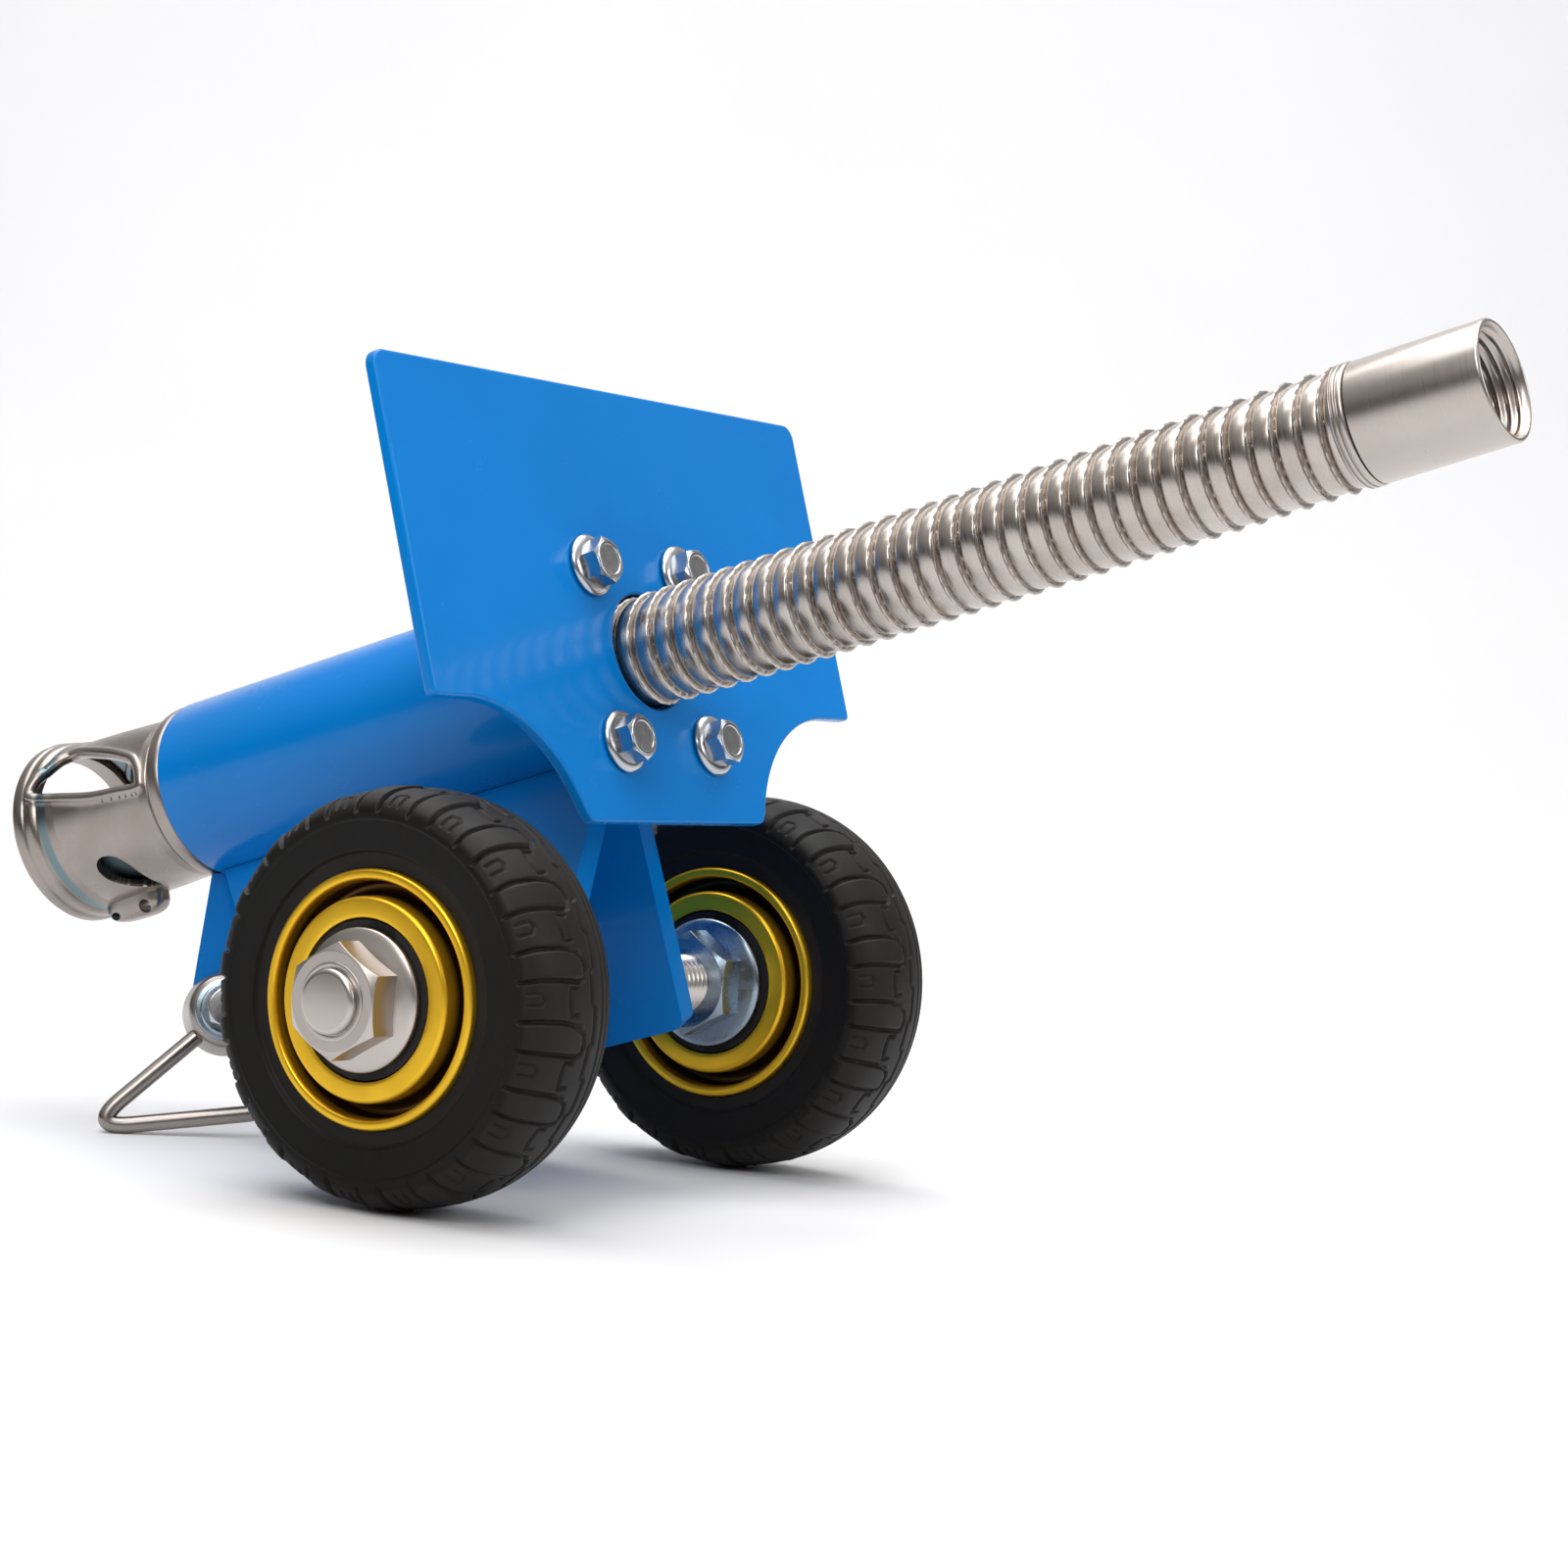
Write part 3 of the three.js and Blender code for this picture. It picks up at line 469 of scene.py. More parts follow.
def line_distance(s, w, points):
    """Distance to a polyline in the unrolled tread, which repeats every pitch."""
    best = np.full(s.shape, 1e9)
    for shift in (-TREAD_PITCH, 0, TREAD_PITCH):
        for (s0, w0), (s1, w1) in zip(points[:-1], points[1:]):
            ds, dw = s1 - s0, w1 - w0
            t = np.clip(((s + shift - s0) * ds + (w - w0) * dw) / (ds * ds + dw * dw), 0, 1)
            best = np.minimum(best, np.hypot(s + shift - s0 - t * ds, w - w0 - t * dw))
    return best


def tread_height(s, w):
    """Height of the tread; s runs round the tyre and w across it, from the patterned edge."""
    finger = [(1.0, -1), (0.2, 8), (0.6, 17), (1.8, 22.5), (4.2, 25.9), (7.4, 26.8), (10.2, 25.6)]
    finger += [(10.8, 23.4), (10.0, 17), (9.6, 8), (10.0, -1)]
    block = [(12.6, 23.0), (12.4, 19.6), (16.4, 19.2), (20.4, 19.8), (20.2, 23.0)]
    pocket = [(13.6, 4.0), (13.4, 8.6), (15.4, 9.6), (17.2, 8.6), (17.2, 4.0)]
    wave = [(0, 31.0), (7.0, 31.2), (8.2, 29.4), (17.0, 29.2), (18.4, 31.0), (TREAD_PITCH, 31.0)]
    notch = [(5.0, 51.0), (5.2, 47.2), (8.4, 46.4), (8.6, 51.0)]
    height = np.zeros(s.shape)
    lines = ((finger, 1.1, 1), (block, 0.9, 0.8), (pocket, 0.8, 0.55), (wave, 1.0, 0.8),
             (notch, 1.3, 1.2))
    for points, width, depth in lines:
        near = line_distance(s, w, points)
        height -= GROOVE_DEPTH * depth * (1 - smooth_step(near / (GROOVE_WIDTH * width * 2)))
    for rib in (35.4, 38.6, 41.8):
        height -= 0.55 * (1 - smooth_step(np.abs(w - rib) / 0.8))
    inside = smooth_step((s - 0.6) / 1.6) * smooth_step((10.4 - s) / 1.6)
    inside = inside * smooth_step((26.0 - w) / 1.6)
    return height + 0.45 * (inside - 1)


def tread_arch():
    """Radius, y and distance across of the tread's arch, from the patterned edge to the other."""
    angle = np.linspace(math.pi / 2, -math.pi / 2, 1201)
    power = 2 / CROWN_POWER
    y = TYRE_HALF * np.sign(np.sin(angle)) * np.abs(np.sin(angle)) ** power
    radius = TYRE_RADIUS - CROWN_HEIGHT + CROWN_HEIGHT * np.abs(np.cos(angle)) ** power
    across = np.concatenate([[0], np.cumsum(np.hypot(np.diff(y), np.diff(radius)))])
    even = np.linspace(0, across[-1], 121)
    width = even / across[-1] * TREAD_WIDTH
    return np.interp(even, across, radius), np.interp(even, across, y), width


def tyre_part():
    """The tyre as a grid: the tread round the arch, then the flat sides and the bead seat."""
    segments = 1440
    radius, y, w = tread_arch()
    s = (np.arange(segments) * TREAD_PITCH * TREAD_COUNT / segments)[:, None] % TREAD_PITCH
    s, w = np.broadcast_arrays(s, w[None, :])
    fade = smooth_step(w / 2.6) * smooth_step((TREAD_WIDTH - w) / 1.6)
    height = tread_height(s, w) * fade
    slope = np.stack([-np.gradient(y), np.gradient(radius)], -1)
    slope /= np.linalg.norm(slope, axis=1)[:, None]
    crown_radius = radius + height * slope[:, 0]
    crown_y = y + height * slope[:, 1]
    side = rounded([(53.0, -TYRE_HALF), (52.5, -TYRE_HALF, 0.3), (52.1, -20.85, 0.3),
                    (43.4, -20.85, 0.4), (42.6, -19.2, 0.4), (38.4, -19.0)], closed=False)
    flat = np.vstack([side, [(38.4, -12.0), (38.4, 12.0)], side[::-1] * [1, -1]])
    radii = np.hstack([crown_radius, np.broadcast_to(flat[:, 0], (segments, len(flat)))])
    ys = np.hstack([crown_y, np.broadcast_to(flat[:, 1], (segments, len(flat)))])
    return shell(turn_points(radii, ys, segments))


def rim_part():
    half = [(23.8, 23.0), (24.8, 23.15), (29.3, 23.15, 0.8), (30.1, 22.2, 0.8), (30.3, 12.6, 2.2),
            (34.2, 11.6, 2.2), (34.75, 20.2, 0.8), (35.4, 21.3, 0.8), (37.4, 21.3, 0.8),
            (38.1, 20.4, 0.6)]
    lower = [(r, -y, *size) for r, y, *size in half]
    inner = [(20.8, 8), (20.8, -8)]
    return turned([*lower, *half[::-1], (23.8, 9.5), *inner, (23.8, -9.5)], 256)


def flange_nut_part():
    face = 22.85
    skirt = turned([(0, face), (21.0, face, 0.5), (21.2, face + 2.0, 0.7), (20.0, face + 2.7, 0.6),
                    (15.0, face + 4.6, 1.0), (0, face + 4.6)], 192, closed=False)
    return merged(skirt, hexagon(30, face + 2, face + 14.2, 14.6))


def stub_end_part():
    """The stub's domed end inside the nut, in a shallow dark ring."""
    base = 36.4
    dome = [(0, base), (9.6, base), (9.6, 38.9, 1.0), (8.6, 39.7, 1.0), (0, 39.9)]
    return merged(turned(dome, 96, closed=False), ring(9.9, 11.4, base, 37.35, size=0.25))


def build_wheels():
    tyre_mesh = make_mesh("tyre", tyre_part(), 60)
    tyre_mesh.materials.append(TYRE)
    rim_mesh = make_mesh("rim", rim_part(), 40)
    rim_mesh.materials.append(GOLD)
    mirror = np.diag([1, -1, 1])
    for side, matrix in WHEELS.items():
        wheel = side + "_wheel"
        same_way = wheel_frame(side, -1)
        place(side + "_tyre_tread", tyre_mesh, same_way, wheel, TYRE, [side + "_tyre"])
        place(side + "_rim_disc", rim_mesh, matrix, wheel, GOLD, [side + "_rim"])
        nut = add(side + "_outer_flange_nut", flange_nut_part(), matrix, "carriage", NUT,
                  [side + "_outer_nut"], 28)
        bevelled(nut, 0.35, 3)
        inner = add(side + "_inner_flange_nut", rotated(flange_nut_part(), mirror), matrix,
                    "carriage", BLUE_ZINC, [side + "_inner_nut"], 28)
        bevelled(inner, 0.35, 3)
        low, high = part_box(side + "_stub_axle")
        reach = (high - low).x / MM
        start = 39.9 - reach + 4.0
        stub = merged(threaded(9.6, start, -36.0, 2.5, 0.9), ring(0.01, 9.2, start - 4.0, start + 1.0),
                      ring(0.01, 9.2, -37.0, 37.0), stub_end_part())
        add(side + "_stub", stub, matrix, "carriage", NUT, [side + "_stub_axle"])


# ---- Shield, bolts, tube -----------------------------------------------------------------
def arc(cx, cz, radius, start, end, steps):
    angles = np.radians(np.linspace(start, end, steps))
    return [(cx + radius * math.cos(a), cz + radius * math.sin(a)) for a in angles]


def shield_outline():
    """The shield's outline in X and Z: its right half from the tab up, then the left half mirrored."""
    half, top, side, bottom = 113.5, 85.8, -18.4, -55.1
    notch, radius = 98.0, 52.0
    centre = side - radius
    tab = 180 - math.degrees(math.asin((bottom - centre) / radius))
    tab_x = notch + radius * math.cos(math.radians(tab))
    notch_edge = [(x, z) for x, z in arc(notch, centre, radius, tab, 90, 40) if z > bottom + 2.2]
    outline = [(tab_x - 3.2, bottom), (tab_x - 1.0, bottom + 0.5), *notch_edge]
    outline += arc(half - 2, side + 2, 2, -90, 0, 6)
    outline += arc(half - 5, top - 5, 5, 0, 90, 9)
    return outline + [(-x, z) for x, z in outline[::-1]]


def flat_plate(name, outlines, thickness, edge, matrix, material, replaces):
    """A plate with rounded edges from closed outlines: the first is the edge, the others are holes."""
    curve = bpy.data.curves.new(name, "CURVE")
    curve.dimensions = "2D"
    curve.fill_mode = "BOTH"
    curve.extrude = (thickness / 2 - edge) * MM
    curve.bevel_depth = edge * MM
    curve.bevel_resolution = 3
    curve.offset = -edge * MM
    for outline in outlines:
        spline = curve.splines.new("POLY")
        spline.points.add(len(outline) - 1)
        for point, (x, y) in zip(spline.points, outline):
            point.co = (x * MM, y * MM, 0, 1)
        spline.use_cyclic_u = True
    holder = bpy.data.objects.new(name + "_curve", curve)
    bpy.context.scene.collection.objects.link(holder)
    bpy.context.view_layer.update()
    mesh = bpy.data.meshes.new_from_object(holder)
    bpy.data.objects.remove(holder)
    mesh.name = name
    mesh.materials.clear()
    mesh.shade_smooth()
    mesh.set_sharp_from_angle(angle=math.radians(30))
    return place(name, mesh, matrix, "carriage", material, replaces)


UPRIGHT = Matrix(((1, 0, 0), (0, 0, -1), (0, 1, 0))).to_4x4()  # plate drawing to barrel X and Z
BOLT_PLACES = [(-24.5, 26), (24.5, 26), (-24.5, -30), (24.5, -30)]


def circle(cx, cz, radius, steps=48):
    return arc(cx, cz, radius, 0, 360 - 360 / steps, steps)


def build_shield():
    holes = [circle(0, 0, 18.6)] + [circle(x, z, 4.4) for x, z in BOLT_PLACES]
    matrix = BARREL @ Matrix.Translation((0, 2 * MM, 0)) @ UPRIGHT
    flat_plate("shield", [shield_outline(), *holes], 4, 0.9, matrix, PAINT,
               ["shield_plate"])


def bolt_part(seed):
    """Flanged hex bolt about +Y, head outwards, with a shallow cast dish in its top."""
    flange = turned([(0, 0.25), (9.6, 0.25, 0.5), (10.0, 1.3, 0.6), (9.2, 2.3, 0.6), (7.6, 2.9, 0.6),
                     (0, 3.4)], 96, closed=False)
    head = hexagon(13, 2.2, 8.4, 6.3)
    rim = turned([(0, 7.9), (4.2, 7.9, 0.3), (4.9, 8.75, 0.3), (6.0, 8.75, 0.5), (6.2, 8.1), (0, 8.1)],
                 96, closed=False)
    rng = np.random.default_rng(seed)
    radius = np.linspace(0, 4.5, 14)
    points = turn_points(radius, np.full(14, 8.2), 48)
    points[:, 1:-1, 1] += rng.normal(0, 0.11, (48, 12)) * np.sin(radius[1:-1] * math.pi) ** 2
    return merged(flange, head, rim, shell(points, True, False))


def build_bolts():
    turns = (12, 35, 4, 22)
    for i, ((x, z), degrees) in enumerate(zip(BOLT_PLACES, turns)):
        local = Matrix.Translation((x * MM, 0, z * MM)) @ Matrix.Rotation(math.pi, 4, "X")
        local = local @ Matrix.Rotation(math.radians(degrees), 4, "Y")
        node = f"shield_bolt_{i + 1}"
        shank = shifted(threaded(4.0, 0, 14, 1.25, 0.5), y=-14)
        part = merged(bolt_part(11 + i), shank)
        bolt = add(f"flange_bolt_{i + 1}", part, BARREL @ local, "carriage", ZINC,
                   [node], 30)
        bevelled(bolt, 0.25, 2)


TUBE_START = 12.6
TUBE_END = 182.0


def build_tube():
    tube = ring(27.15, 30.15, TUBE_START, TUBE_END, 192, 0.9)
    add("tube", tube, BARREL, "carriage", PAINT, ["housing_tube"])
    bead = turned([(29.9, TUBE_START - 0.1), (33.4, TUBE_START - 0.1, 0.5),
                   (32.4, TUBE_START + 1.6, 1.5), (30.0, TUBE_START + 3.6)], 160)
    points = bead[0]
    angle = np.arctan2(points[:, 2], points[:, 0])
    lift = 1 + 0.006 * np.sin(angle * 61)
    points[:, 0] *= lift
    points[:, 2] *= lift
    add("tube_weld", (points, bead[1]), BARREL, "carriage", PAINT)


# ---- Hose and muzzle ---------------------------------------------------------------------
HOSE_FRONT = -243.7
HOSE_TURNS = 33
HOSE_SAG = 0.7


def hose_profile(phase):
    """Radius over one turn: a broad rolled band, a gap, a narrow bead and a gap."""
    band = 16.3 + 0.55 * np.sin(np.pi * np.clip(phase / 0.74, 0, 1)) ** 0.45
    bead = 16.1 + 1.85 * np.sin(np.pi * np.clip((phase - 0.78) / 0.18, 0, 1)) ** 0.75
    return np.where(phase < 0.74, band, np.where((phase > 0.78) & (phase < 0.96), bead, 15.8))


def hose_part():
    segments, per_turn = 128, 26
    pitch = -HOSE_FRONT / HOSE_TURNS
    y = np.linspace(HOSE_FRONT, 3, HOSE_TURNS * per_turn)
    angle = np.arange(segments) / segments
    phase = (y[None, :] / pitch - angle[:, None]) % 1
    radii = hose_profile(phase)
    bore = np.full((segments, 1), 14.0)
    radii = np.hstack([bore, radii, bore])
    points = turn_points(radii, np.concatenate([[HOSE_FRONT], y, [3]]), segments)
    along = np.clip(points[..., 1] / HOSE_FRONT, 0, 1)
    points[..., 2] -= HOSE_SAG * np.sin(np.pi * along)
    return shell(points)


def ferrule_part():
    front, rear = -289.0, -248.8
    profile = rounded([(14.2, rear, 0.3), (14.2, front + 27, 0.5), (15.7, front + 26)], closed=False)
    inner_y = np.arange(front + 25.5, front + 1.6, -0.35)
    outer = rounded([(15.7, front + 1.2), (16.5, front, 0.3), (17.1, front, 0.3),
                     (17.7, front + 0.7, 0.3), (17.7, rear, 0.4), (14.2, rear)], closed=False)
    segments = 160
    pitch, depth = 3.1, 1.2
    angle = np.arange(segments) / segments
    phase = (inner_y[None, :] / pitch - angle[:, None]) % 1
    fade = smooth_step((inner_y - front - 1.2) / 2)
    thread = 15.7 - depth * fade * np.sin(np.pi * phase) ** 1.5
    spread = (segments, 1)
    radii = np.hstack([np.tile(profile[:, 0], spread), thread, np.tile(outer[:, 0], spread)])
    ys = np.concatenate([profile[:, 1], inner_y, outer[:, 1]])
    return shell(turn_points(radii, ys, segments))


def build_hose():
    add("hose_coils", hose_part(), BARREL, "carriage", HOSE, ["guide_hose"], 70)
    add("ferrule", ferrule_part(), BARREL, "carriage", FERRULE, ["muzzle_ferrule"], 50)
    crimp = turned([(14.2, -248.5), (17.6, -248.5, 0.4), (18.0, -248.0, 0.3), (18.0, -247.0, 0.2),
                    (17.35, -246.8, 0.2), (17.35, -246.4, 0.2), (18.0, -246.2, 0.2),
                    (18.0, -245.4, 0.2), (17.4, -245.2, 0.2), (17.4, -244.9, 0.2),
                    (18.0, -244.7, 0.3), (17.5, -243.6, 0.5), (14.2, -243.6)], 160, 0.2)
    add("crimp", crimp, BARREL, "carriage", FERRULE, ["crimp_ring"])


# ---- Rear coupling -----------------------------------------------------------------------
BELL_START = 189.4
BELL_END = 248.9
BELL_PROFILE = [(BELL_START, 25.6), (BELL_START + 1.0, 26.9), (BELL_START + 4, 27.5), (214, 28.4),
                (232, 28.8), (233.6, 29.2), (234.6, 29.5), (238.8, 29.5), (239.6, 30.2), (240.6, 30.7),
                (243.4, 30.8), (244.2, 31.4), (245.5, 31.6), (247.6, 31.5), (BELL_END, 30.6)]
UPPER_WINDOW = [(194, 2.7), (202, 3.2), (215, 4.3), (228, 7), (240, 9.8), (242.4, 12), (241.6, 15.2),
                (238.4, 19.4), (233.6, 22.6), (229, 23.4), (224, 22.6), (210, 18.7), (200, 14.9),
                (196, 12.6), (193.6, 9), (193, 5)]
LOWER_WINDOW = [(208.6, -77), (208.4, -62), (209.6, -46), (212.4, -37), (216.6, -33.5), (220.6, -36),
                (222.6, -44), (221.2, -55), (215.6, -68)]


def closed_curve(points, per_corner=10):
    """A smooth closed curve through the points (Catmull-Rom)."""
    points = np.array(points, float)
    result = []
    count = len(points)
    for i in range(count):
        p0, p1, p2, p3 = (points[(i + k - 1) % count] for k in range(4))
        for k in range(per_corner):
            t = k / per_corner
            result.append(0.5 * ((2 * p1) + (p2 - p0) * t + (2 * p0 - 5 * p1 + 4 * p2 - p3) * t * t
                                 + (3 * p1 - p0 - 3 * p2 + p3) * t ** 3))
    return np.array(result)


def signed_distance(points, outline):
    """Distance to a closed outline, negative inside, and the nearest point on it."""
    flat = points.reshape(-1, 2)
    start, end = outline, np.roll(outline, -1, 0)
    edge = end - start
    best = np.full(len(flat), 1e9)
    nearest = np.zeros_like(flat)
    inside = np.zeros(len(flat), bool)
    for a, b, d in zip(start, end, edge):
        t = np.clip(((flat - a) @ d) / (d @ d), 0, 1)
        foot = a + t[:, None] * d
        distance = np.linalg.norm(flat - foot, axis=1)
        closer = distance < best
        best = np.where(closer, distance, best)
        nearest[closer] = foot[closer]
        crosses = (a[1] > flat[:, 1]) != (b[1] > flat[:, 1])
        if crosses.any():
            at = a[0] + (flat[:, 1] - a[1]) * d[0] / (d[1] if d[1] else 1e-9)
            inside ^= crosses & (flat[:, 0] < at)
    shape = points.shape[:-1]
    return np.where(inside, -best, best).reshape(shape), nearest.reshape(points.shape)


def bell_radius(y):
    table = np.array(BELL_PROFILE)
    return np.interp(y, table[:, 0], table[:, 1])


def bell_part():
    """The bell's outer skin with its windows left out; edge points are moved onto the outlines."""
    segments, rows = 720, 220
    y = np.linspace(BELL_START, BELL_END, rows)
    angle = np.arange(segments) * TURN / segments
    grid_y = np.broadcast_to(y, (segments, rows)).copy()
    grid_a = np.broadcast_to(angle[:, None], (segments, rows)).copy()
    side = np.stack([grid_y, bell_radius(grid_y) * np.sin(grid_a)], -1)
    upper, foot = signed_distance(side, closed_curve(UPPER_WINDOW))
    snap = (np.abs(upper) < 0.26) & (side[..., 1] > 0)
    sine = np.clip(foot[..., 1] / bell_radius(foot[..., 0]), -1, 1)
    flat_angle = np.arcsin(sine)
    snapped = np.where(np.cos(grid_a) >= 0, flat_angle, math.pi - flat_angle)
    grid_y[snap], grid_a[snap] = foot[..., 0][snap], snapped[snap]
    gone = upper < -0.02
    fold = np.degrees(np.arcsin(np.sin(grid_a)))
    unrolled = np.stack([grid_y, fold * 0.5], -1)
    outline = closed_curve([(a, b * 0.5) for a, b in LOWER_WINDOW])
    lower, foot = signed_distance(unrolled, outline)
    lower[np.cos(grid_a) > 0] = 99
    snap = np.abs(lower) < 0.24
    snapped = math.pi - np.radians(foot[..., 1] * 2)
    grid_y[snap], grid_a[snap] = foot[..., 0][snap], snapped[snap]
    gone |= lower < -0.02
    radius = bell_radius(grid_y) + 0.5 * np.exp(-((upper - 0.6) / 1.4) ** 2)
    points = np.stack([radius * np.cos(grid_a), grid_y, radius * np.sin(grid_a)], -1)
    faces = grid_faces(segments, rows, True, False)
    keep = ~gone.reshape(-1)[faces].any(1)
    return points.reshape(-1, 3), faces[keep]


def tube_along(path, radius, sides=14):
    """A closed round bead of the given radius along a closed path."""
    ahead = np.roll(path, -1, 0) - np.roll(path, 1, 0)
    ahead /= np.linalg.norm(ahead, axis=1)[:, None]
    out = path * [1, 0, 1]
    out /= np.linalg.norm(out, axis=1)[:, None]
    out -= ahead * (out * ahead).sum(1)[:, None]
    out /= np.linalg.norm(out, axis=1)[:, None]
    across = np.cross(ahead, out)
    angle = np.arange(sides) * TURN / sides
    cosine, sine = np.cos(angle)[None, :, None], np.sin(angle)[None, :, None]
    spokes = out[:, None] * cosine + across[:, None] * sine
    return shell(path[:, None] + radius * spokes)


def window_beads():
    """Rounded rims round the upper windows, on both sides."""
    outline = closed_curve(UPPER_WINDOW)
    radius = bell_radius(outline[:, 0]) - 1.2
    x = np.sqrt(np.maximum(radius ** 2 - outline[:, 1] ** 2, 1))
    right = np.stack([x, outline[:, 0], outline[:, 1]], -1)
    return merged(tube_along(right, 2.1), tube_along(right * [-1, 1, 1], 2.1))


def lug_mesh():
    """The cast lug under the bell with a cross hole and a slot cut through."""
    u = np.linspace(0, math.pi, 33)
    v = np.arange(64) * TURN / 64

    def power(value, exponent):
        return np.sign(value) * np.abs(value) ** exponent

    x = 5.2 * power(np.sin(u)[None, :], 0.6) * power(np.cos(v)[:, None], 0.6)
    z = 7.0 * power(np.sin(u)[None, :], 0.6) * power(np.sin(v)[:, None], 0.6)
    y = np.broadcast_to(12.5 * power(np.cos(u), 0.6), x.shape)
    body = shell(np.stack([x, y + 226, z - 28.5], -1), True, False)
    mesh = make_mesh("bell_lug", body, 60)
    piece = bpy.data.objects.new("bell_lug_blank", mesh)
    bpy.context.scene.collection.objects.link(piece)
    cutters = [(219.5, -32.4, 2.3, 1.0), (233.5, -33.0, 1.3, 1.8)]
    tools = []
    for cy, cz, radius, stretch in cutters:
        part = turned([(0, -9), (radius, -9), (radius, 9), (0, 9)], 48, 0.1, closed=False)
        turned_part = part[0][:, [1, 0, 2]] * [1, stretch, 1] + [0, cy, cz]
        tool = bpy.data.objects.new("cutter", make_mesh("cutter", (turned_part, part[1])))
        bpy.context.scene.collection.objects.link(tool)
        modifier = piece.modifiers.new("cut", "BOOLEAN")
        modifier.operation, modifier.object, modifier.solver = "DIFFERENCE", tool, "EXACT"
        tools.append(tool)
    bpy.context.view_layer.update()
    graph = bpy.context.evaluated_depsgraph_get()
    result = bpy.data.meshes.new_from_object(piece.evaluated_get(graph))
    for item in (*tools, piece):
        bpy.data.objects.remove(item)
    result.shade_smooth()
    result.set_sharp_from_angle(angle=math.radians(40))
    return result


def shade_liner_part():
    """The dark liner behind the lower window: a curved plate that closes the bell's lower half, coloured as
    painted shade of the bell's inside.
    """
    angle = np.radians(np.linspace(-172, -8, 83))[:, None]
    radius = np.array([23.9, 24.9, 24.9, 23.9])[None, :]
    radius = np.where((angle == angle[0]) | (angle == angle[-1]), 24.4, radius)
    y = np.broadcast_to([199.2, 199.2, 226.0, 226.0], radius.shape)
    return shell(np.stack([radius * np.cos(angle), y, radius * np.sin(angle)], -1), False, True)


def build_bell():
    skin = make_mesh("bell_skin", bell_part(), 50)
    piece = place("bell_shell", skin, BARREL, "bell", CAST, ["coupling_bell"])
    wall = piece.modifiers.new("wall", "SOLIDIFY")
    wall.thickness = 2.6 * MM
    wall.offset = -1
    bevelled(piece, 0.45, 2, 50)
    add("bell_window_rims", window_beads(), BARREL, "bell", CAST, sharp=60)
    lip = turned([(25.2, 241), (29.0, 241), (30.2, 246.0, 0.8), (30.3, 248.6, 0.6),
                  (29.2, BELL_END, 0.8), (26.2, BELL_END, 0.8), (25.2, 247.6, 0.6)], 192)
    add("bell_lip", lip, BARREL, "bell", CAST)
    seat = turned([(18.7, BELL_START), (26.0, BELL_START, 0.4), (26.6, 196, 0.4), (21.5, 199.0, 0.4),
                   (18.7, 199.0)], 160)
    add("bell_seat", seat, BARREL, "bell", CAST)
    place("bell_lug", lug_mesh(), BARREL, "bell", CAST)
    # A dark plate, painted as the shade inside the bell behind the lower window.
    add("bell_shade_liner", shade_liner_part(), BARREL, "bell", INTERIOR_SHADE)
    collar = turned([(12.9, 156.2), (26.8, 156.2), (26.8, TUBE_END + 0.2), (29.3, TUBE_END + 0.25, 0.3),
                     (29.9, TUBE_END + 1.4, 0.8), (29.7, 187.0, 0.9), (28.2, 188.7, 0.6), (18.0, 188.7),
                     (18.0, 202.8, 0.5), (12.9, 202.8)], 192)
    add("collar", collar, BARREL, "carriage", CAST, ["coupling_collar"])


# ---- Stand -------------------------------------------------------------------------------
def sweep(path, radius, sides=28):
    """A closed round rod along an open planar path in X and Z."""
    path = np.array(path, float)
    ahead = np.gradient(path, axis=0)
    ahead /= np.linalg.norm(ahead, axis=1)[:, None]
    side = np.array([0.0, 1.0, 0.0])
    other = np.cross(ahead, side)
    angle = np.arange(sides) * TURN / sides
    cosine, sine = np.cos(angle)[None, :, None], np.sin(angle)[None, :, None]
    spokes = side[None, None] * cosine + other[:, None] * sine
    rings = path[:, None] + radius * spokes
    ends = np.repeat(path[[0, -1]][:, None], sides, 1)
    return shell(np.concatenate([ends[:1], rings, ends[1:]]), False, True)


def loop_path():
    """The stand rod's middle line: out from the collar, round two bends and back."""
    inverse = STAND.inverted()
    corners = [inverse @ v.co / MM for v in frame["nodes"]["stand_loop"].data.vertices]
    back = min(c.x for c in corners) + 2.8
    foot = min((c for c in corners if c.x < back + 2), key=lambda c: c.z).z
    rear = np.array([back - 1.5, 0, foot + 1.55])
    front = rear + np.array([69.2, 0, -5.8])
    start, finish = rear * 0.16, front * 0.22
    path = []
    for a, b, c, size in ((start, rear, front, 15.0), (rear, front, finish, 18.0)):
        into = b + (a - b) / np.linalg.norm(a - b) * size
        out = b + (c - b) / np.linalg.norm(c - b) * size
        for t in np.linspace(0, 1, 22):
            path.append((1 - t) ** 2 * into + 2 * t * (1 - t) * b + t * t * out)
    lead = [start + (path[0] - start) * t for t in np.linspace(0, 0.95, 14)]
    tail = [path[-1] + (finish - path[-1]) * t for t in np.linspace(0.05, 1, 14)]
    return lead + path + tail


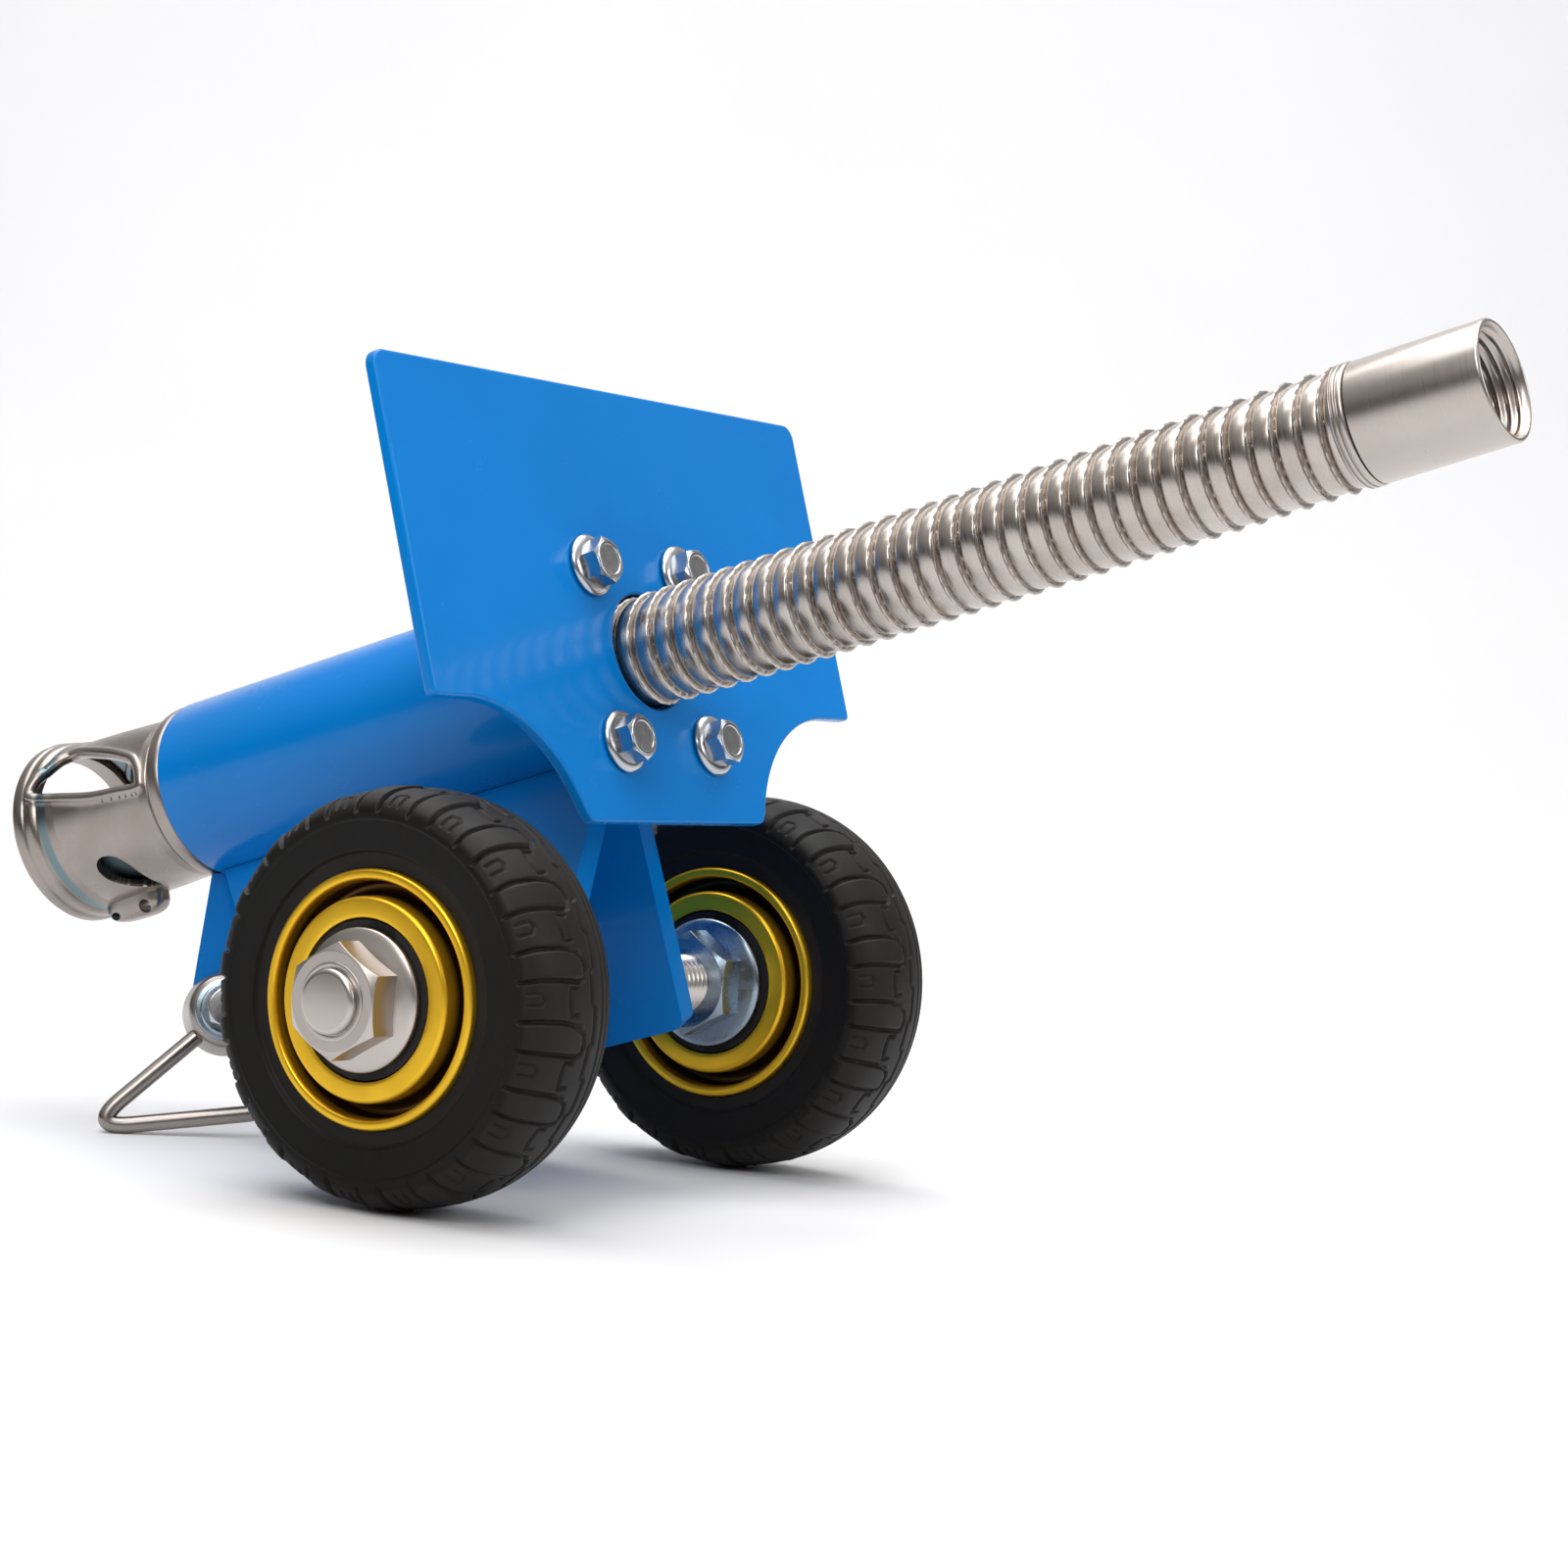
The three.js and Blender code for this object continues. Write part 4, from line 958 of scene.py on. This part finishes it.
def build_stand():
    collar = turned([(4.7, -7.5), (10.6, -7.5, 0.3), (11.8, -6.7, 0.4), (12.4, -5.6, 0.8),
                     (14.2, 6.6, 0.8), (13.4, 7.5, 0.5), (4.7, 7.5)], 160)
    add("stand_hub", collar, STAND, "stand", STAND_STEEL, ["stand_collar"])
    add("stand_rod", sweep(loop_path(), 2.8), STAND, "stand", STAND_STEEL,
        ["stand_loop"], 70)
    washer = turned([(4.7, -9.4), (8.4, -9.4, 0.3), (8.8, -9.0, 0.3), (10.5, -8.8, 0.4), (10.6, -7.8),
                     (4.7, -7.8)], 128, 0.25)
    add("stand_dished_washer", washer, STAND, "carriage", BLUE_ZINC, ["stand_washer"])
    head = hexagon(13, 9.6, 15.0, 6.2)
    head = (head[0] * [1, -1, 1], head[1])
    shank = ring(0.01, 4.0, -10, 24.5)
    bolt = add("stand_bolt", merged(head, shank), STAND, "carriage", ZINC,
               ["stand_pivot_bolt"])
    bevelled(bolt, 0.25, 2)


# ---- CAD nodes that stay -----------------------------------------------------------------
def finish_cad_nodes():
    """Gives the CAD nodes that are still shown their materials and soft edges."""
    looks = {"blue_paint": PAINT, "tyre_rubber": TYRE, "gold_zinc": GOLD, "seal_rubber": SEAL,
             "bearing_steel": BEARING, "hose_steel": HOSE, "ferrule_steel": FERRULE,
             "cast_steel": CAST, "stand_steel": STAND_STEEL, "bolt_zinc": ZINC}
    slots = {item["node"]: item["material_slot"] for item in frame["record"]["subparts"]}
    edges = {"left_leg": 0.8, "right_leg": 0.8, "stand_bracket": 0.9, "tube_flange": 0.8}
    for name, node in frame["nodes"].items():
        if node.hide_render:
            continue
        node.data.materials.clear()
        node.data.materials.append(looks[slots[name]])
        weld = node.modifiers.new("weld", "WELD")
        weld.merge_threshold = 1e-5
        bevelled(node, edges.get(name, 0.25), 3)


# ---- Studio ------------------------------------------------------------------------------
CAMERA_FROM_AXLE = Vector((-919.3, -650.9, 96.45)) * MM
CAMERA_FORWARD = Vector((0.8438, 0.5361, -0.02465)).normalized()
CAMERA_UP = Vector((-0.0179, 0.0740, 0.9971))
LENS = 81.94


def build_camera():
    camera = bpy.data.objects.new("camera", bpy.data.cameras.new("camera"))
    bpy.context.scene.collection.objects.link(camera)
    right = CAMERA_FORWARD.cross(CAMERA_UP).normalized()
    up = right.cross(CAMERA_FORWARD)
    axle = (WHEELS["left"].translation + WHEELS["right"].translation) / 2
    camera.matrix_world = axes_matrix(axle + CAMERA_FROM_AXLE, right, up, -CAMERA_FORWARD)
    camera.data.lens = LENS
    camera.data.sensor_width = 36
    camera.data.clip_start = 0.05
    bpy.context.scene.camera = camera


def floor_material():
    shader = Shader("studio_floor")
    shader.colour(shader.noise(2, detail=2), (0.3, (0.70, 0.70, 0.715)), (0.7, (0.72, 0.72, 0.73)))
    shader.rough(shader.noise(6), 0.55, 0.7)
    shader.set(Specular_IOR_Level=0.2)
    return shader.material


def build_floor():
    """A pale sweep: flat under the object, curving up far behind it."""
    bend, depth, height = 1.2, 2.2, 4.0
    path = [(-3.2, 0.0), (-1.5, 0.0), (0.0, 0.0), (1.2, 0.0), (depth, 0.0)]
    path += [(depth + bend * math.sin(a), bend * (1 - math.cos(a)))
             for a in np.radians(np.arange(6, 91, 6))]
    path.append((depth + bend, height))
    heading = Vector((CAMERA_FORWARD.x, CAMERA_FORWARD.y, 0)).normalized()
    aside = Vector((heading.y, -heading.x, 0))
    vertices = [heading * d + aside * w + Vector((0, 0, h)) for w in (-5.0, 5.0) for d, h in path]
    count = len(path)
    faces = [(i, count + i, count + i + 1, i + 1) for i in range(count - 1)]
    mesh = bpy.data.meshes.new("floor")
    mesh.from_pydata([tuple(v) for v in vertices], [], faces)
    mesh.shade_smooth()
    mesh.materials.append(floor_material())
    floor = bpy.data.objects.new("floor", mesh)
    bpy.context.scene.collection.objects.link(floor)


def add_light(name, spot, target, size, power, colour):
    """A rectangular area light at a spot, turned to its target."""
    data = bpy.data.lights.new(name, "AREA")
    data.shape = "RECTANGLE"
    data.size, data.size_y = size
    data.energy = power
    data.color = colour
    light = bpy.data.objects.new(name, data)
    bpy.context.scene.collection.objects.link(light)
    light.location = spot
    light.rotation_mode = "QUATERNION"
    light.rotation_quaternion = (Vector(target) - Vector(spot)).to_track_quat("-Z", "Y")


def build_lights():
    add_light("overhead", (0.0, 0.1, 2.2), (0, 0, 0), (2.4, 2.4), 52, (1, 1, 1))
    add_light("key", (-1.6, -0.5, 1.5), (0, 0, 0.1), (1.1, 0.9), 17, (1, 0.99, 0.97))
    add_light("fill", (0.5, -2.0, 1.1), (0, 0, 0.1), (1.5, 0.8), 12, (0.95, 0.98, 1))
    add_light("backdrop", (1.2, 0.9, 2.6), (2.6, 1.7, 0.8), (3.5, 1.5), 62, (1, 1, 1))


def build_world():
    """Light from all round with a dark band near eye level, for the metal to mirror."""
    world = bpy.data.worlds.new("studio")
    bpy.context.scene.world = world
    world.use_nodes = True
    tree = world.node_tree
    tree.nodes.clear()
    where = tree.nodes.new("ShaderNodeTexCoord")
    split = tree.nodes.new("ShaderNodeSeparateXYZ")
    level = tree.nodes.new("ShaderNodeMapRange")
    level.inputs["From Min"].default_value = -1
    ramp = tree.nodes.new("ShaderNodeValToRGB")
    stops = [(0.0, (0.9, 0.88, 0.85)), (0.42, (0.62, 0.58, 0.54)), (0.47, (0.07, 0.055, 0.045)),
             (0.58, (0.06, 0.05, 0.045)), (0.67, (0.42, 0.40, 0.385)), (1.0, (1.0, 1.0, 1.0))]
    elements = ramp.color_ramp.elements
    while len(elements) < len(stops):
        elements.new(0.5)
    for element, (position, colour) in zip(elements, stops):
        element.position = position
        element.color = (*colour, 1)
    background = tree.nodes.new("ShaderNodeBackground")
    background.inputs["Strength"].default_value = 0.7
    output = tree.nodes.new("ShaderNodeOutputWorld")
    for source, target in (
        (where.outputs["Generated"], split.inputs["Vector"]),
        (split.outputs["Z"], level.inputs["Value"]),
        (level.outputs["Result"], ramp.inputs["Fac"]),
        (ramp.outputs["Color"], background.inputs["Color"]),
        (background.outputs["Background"], output.inputs["Surface"]),
    ):
        tree.links.new(source, target)


build_wheels()
build_shield()
build_bolts()
build_tube()
build_hose()
build_bell()
build_stand()
finish_cad_nodes()
build_floor()
build_camera()
build_lights()
build_world()
bpy.context.scene.view_settings.view_transform = "Standard"
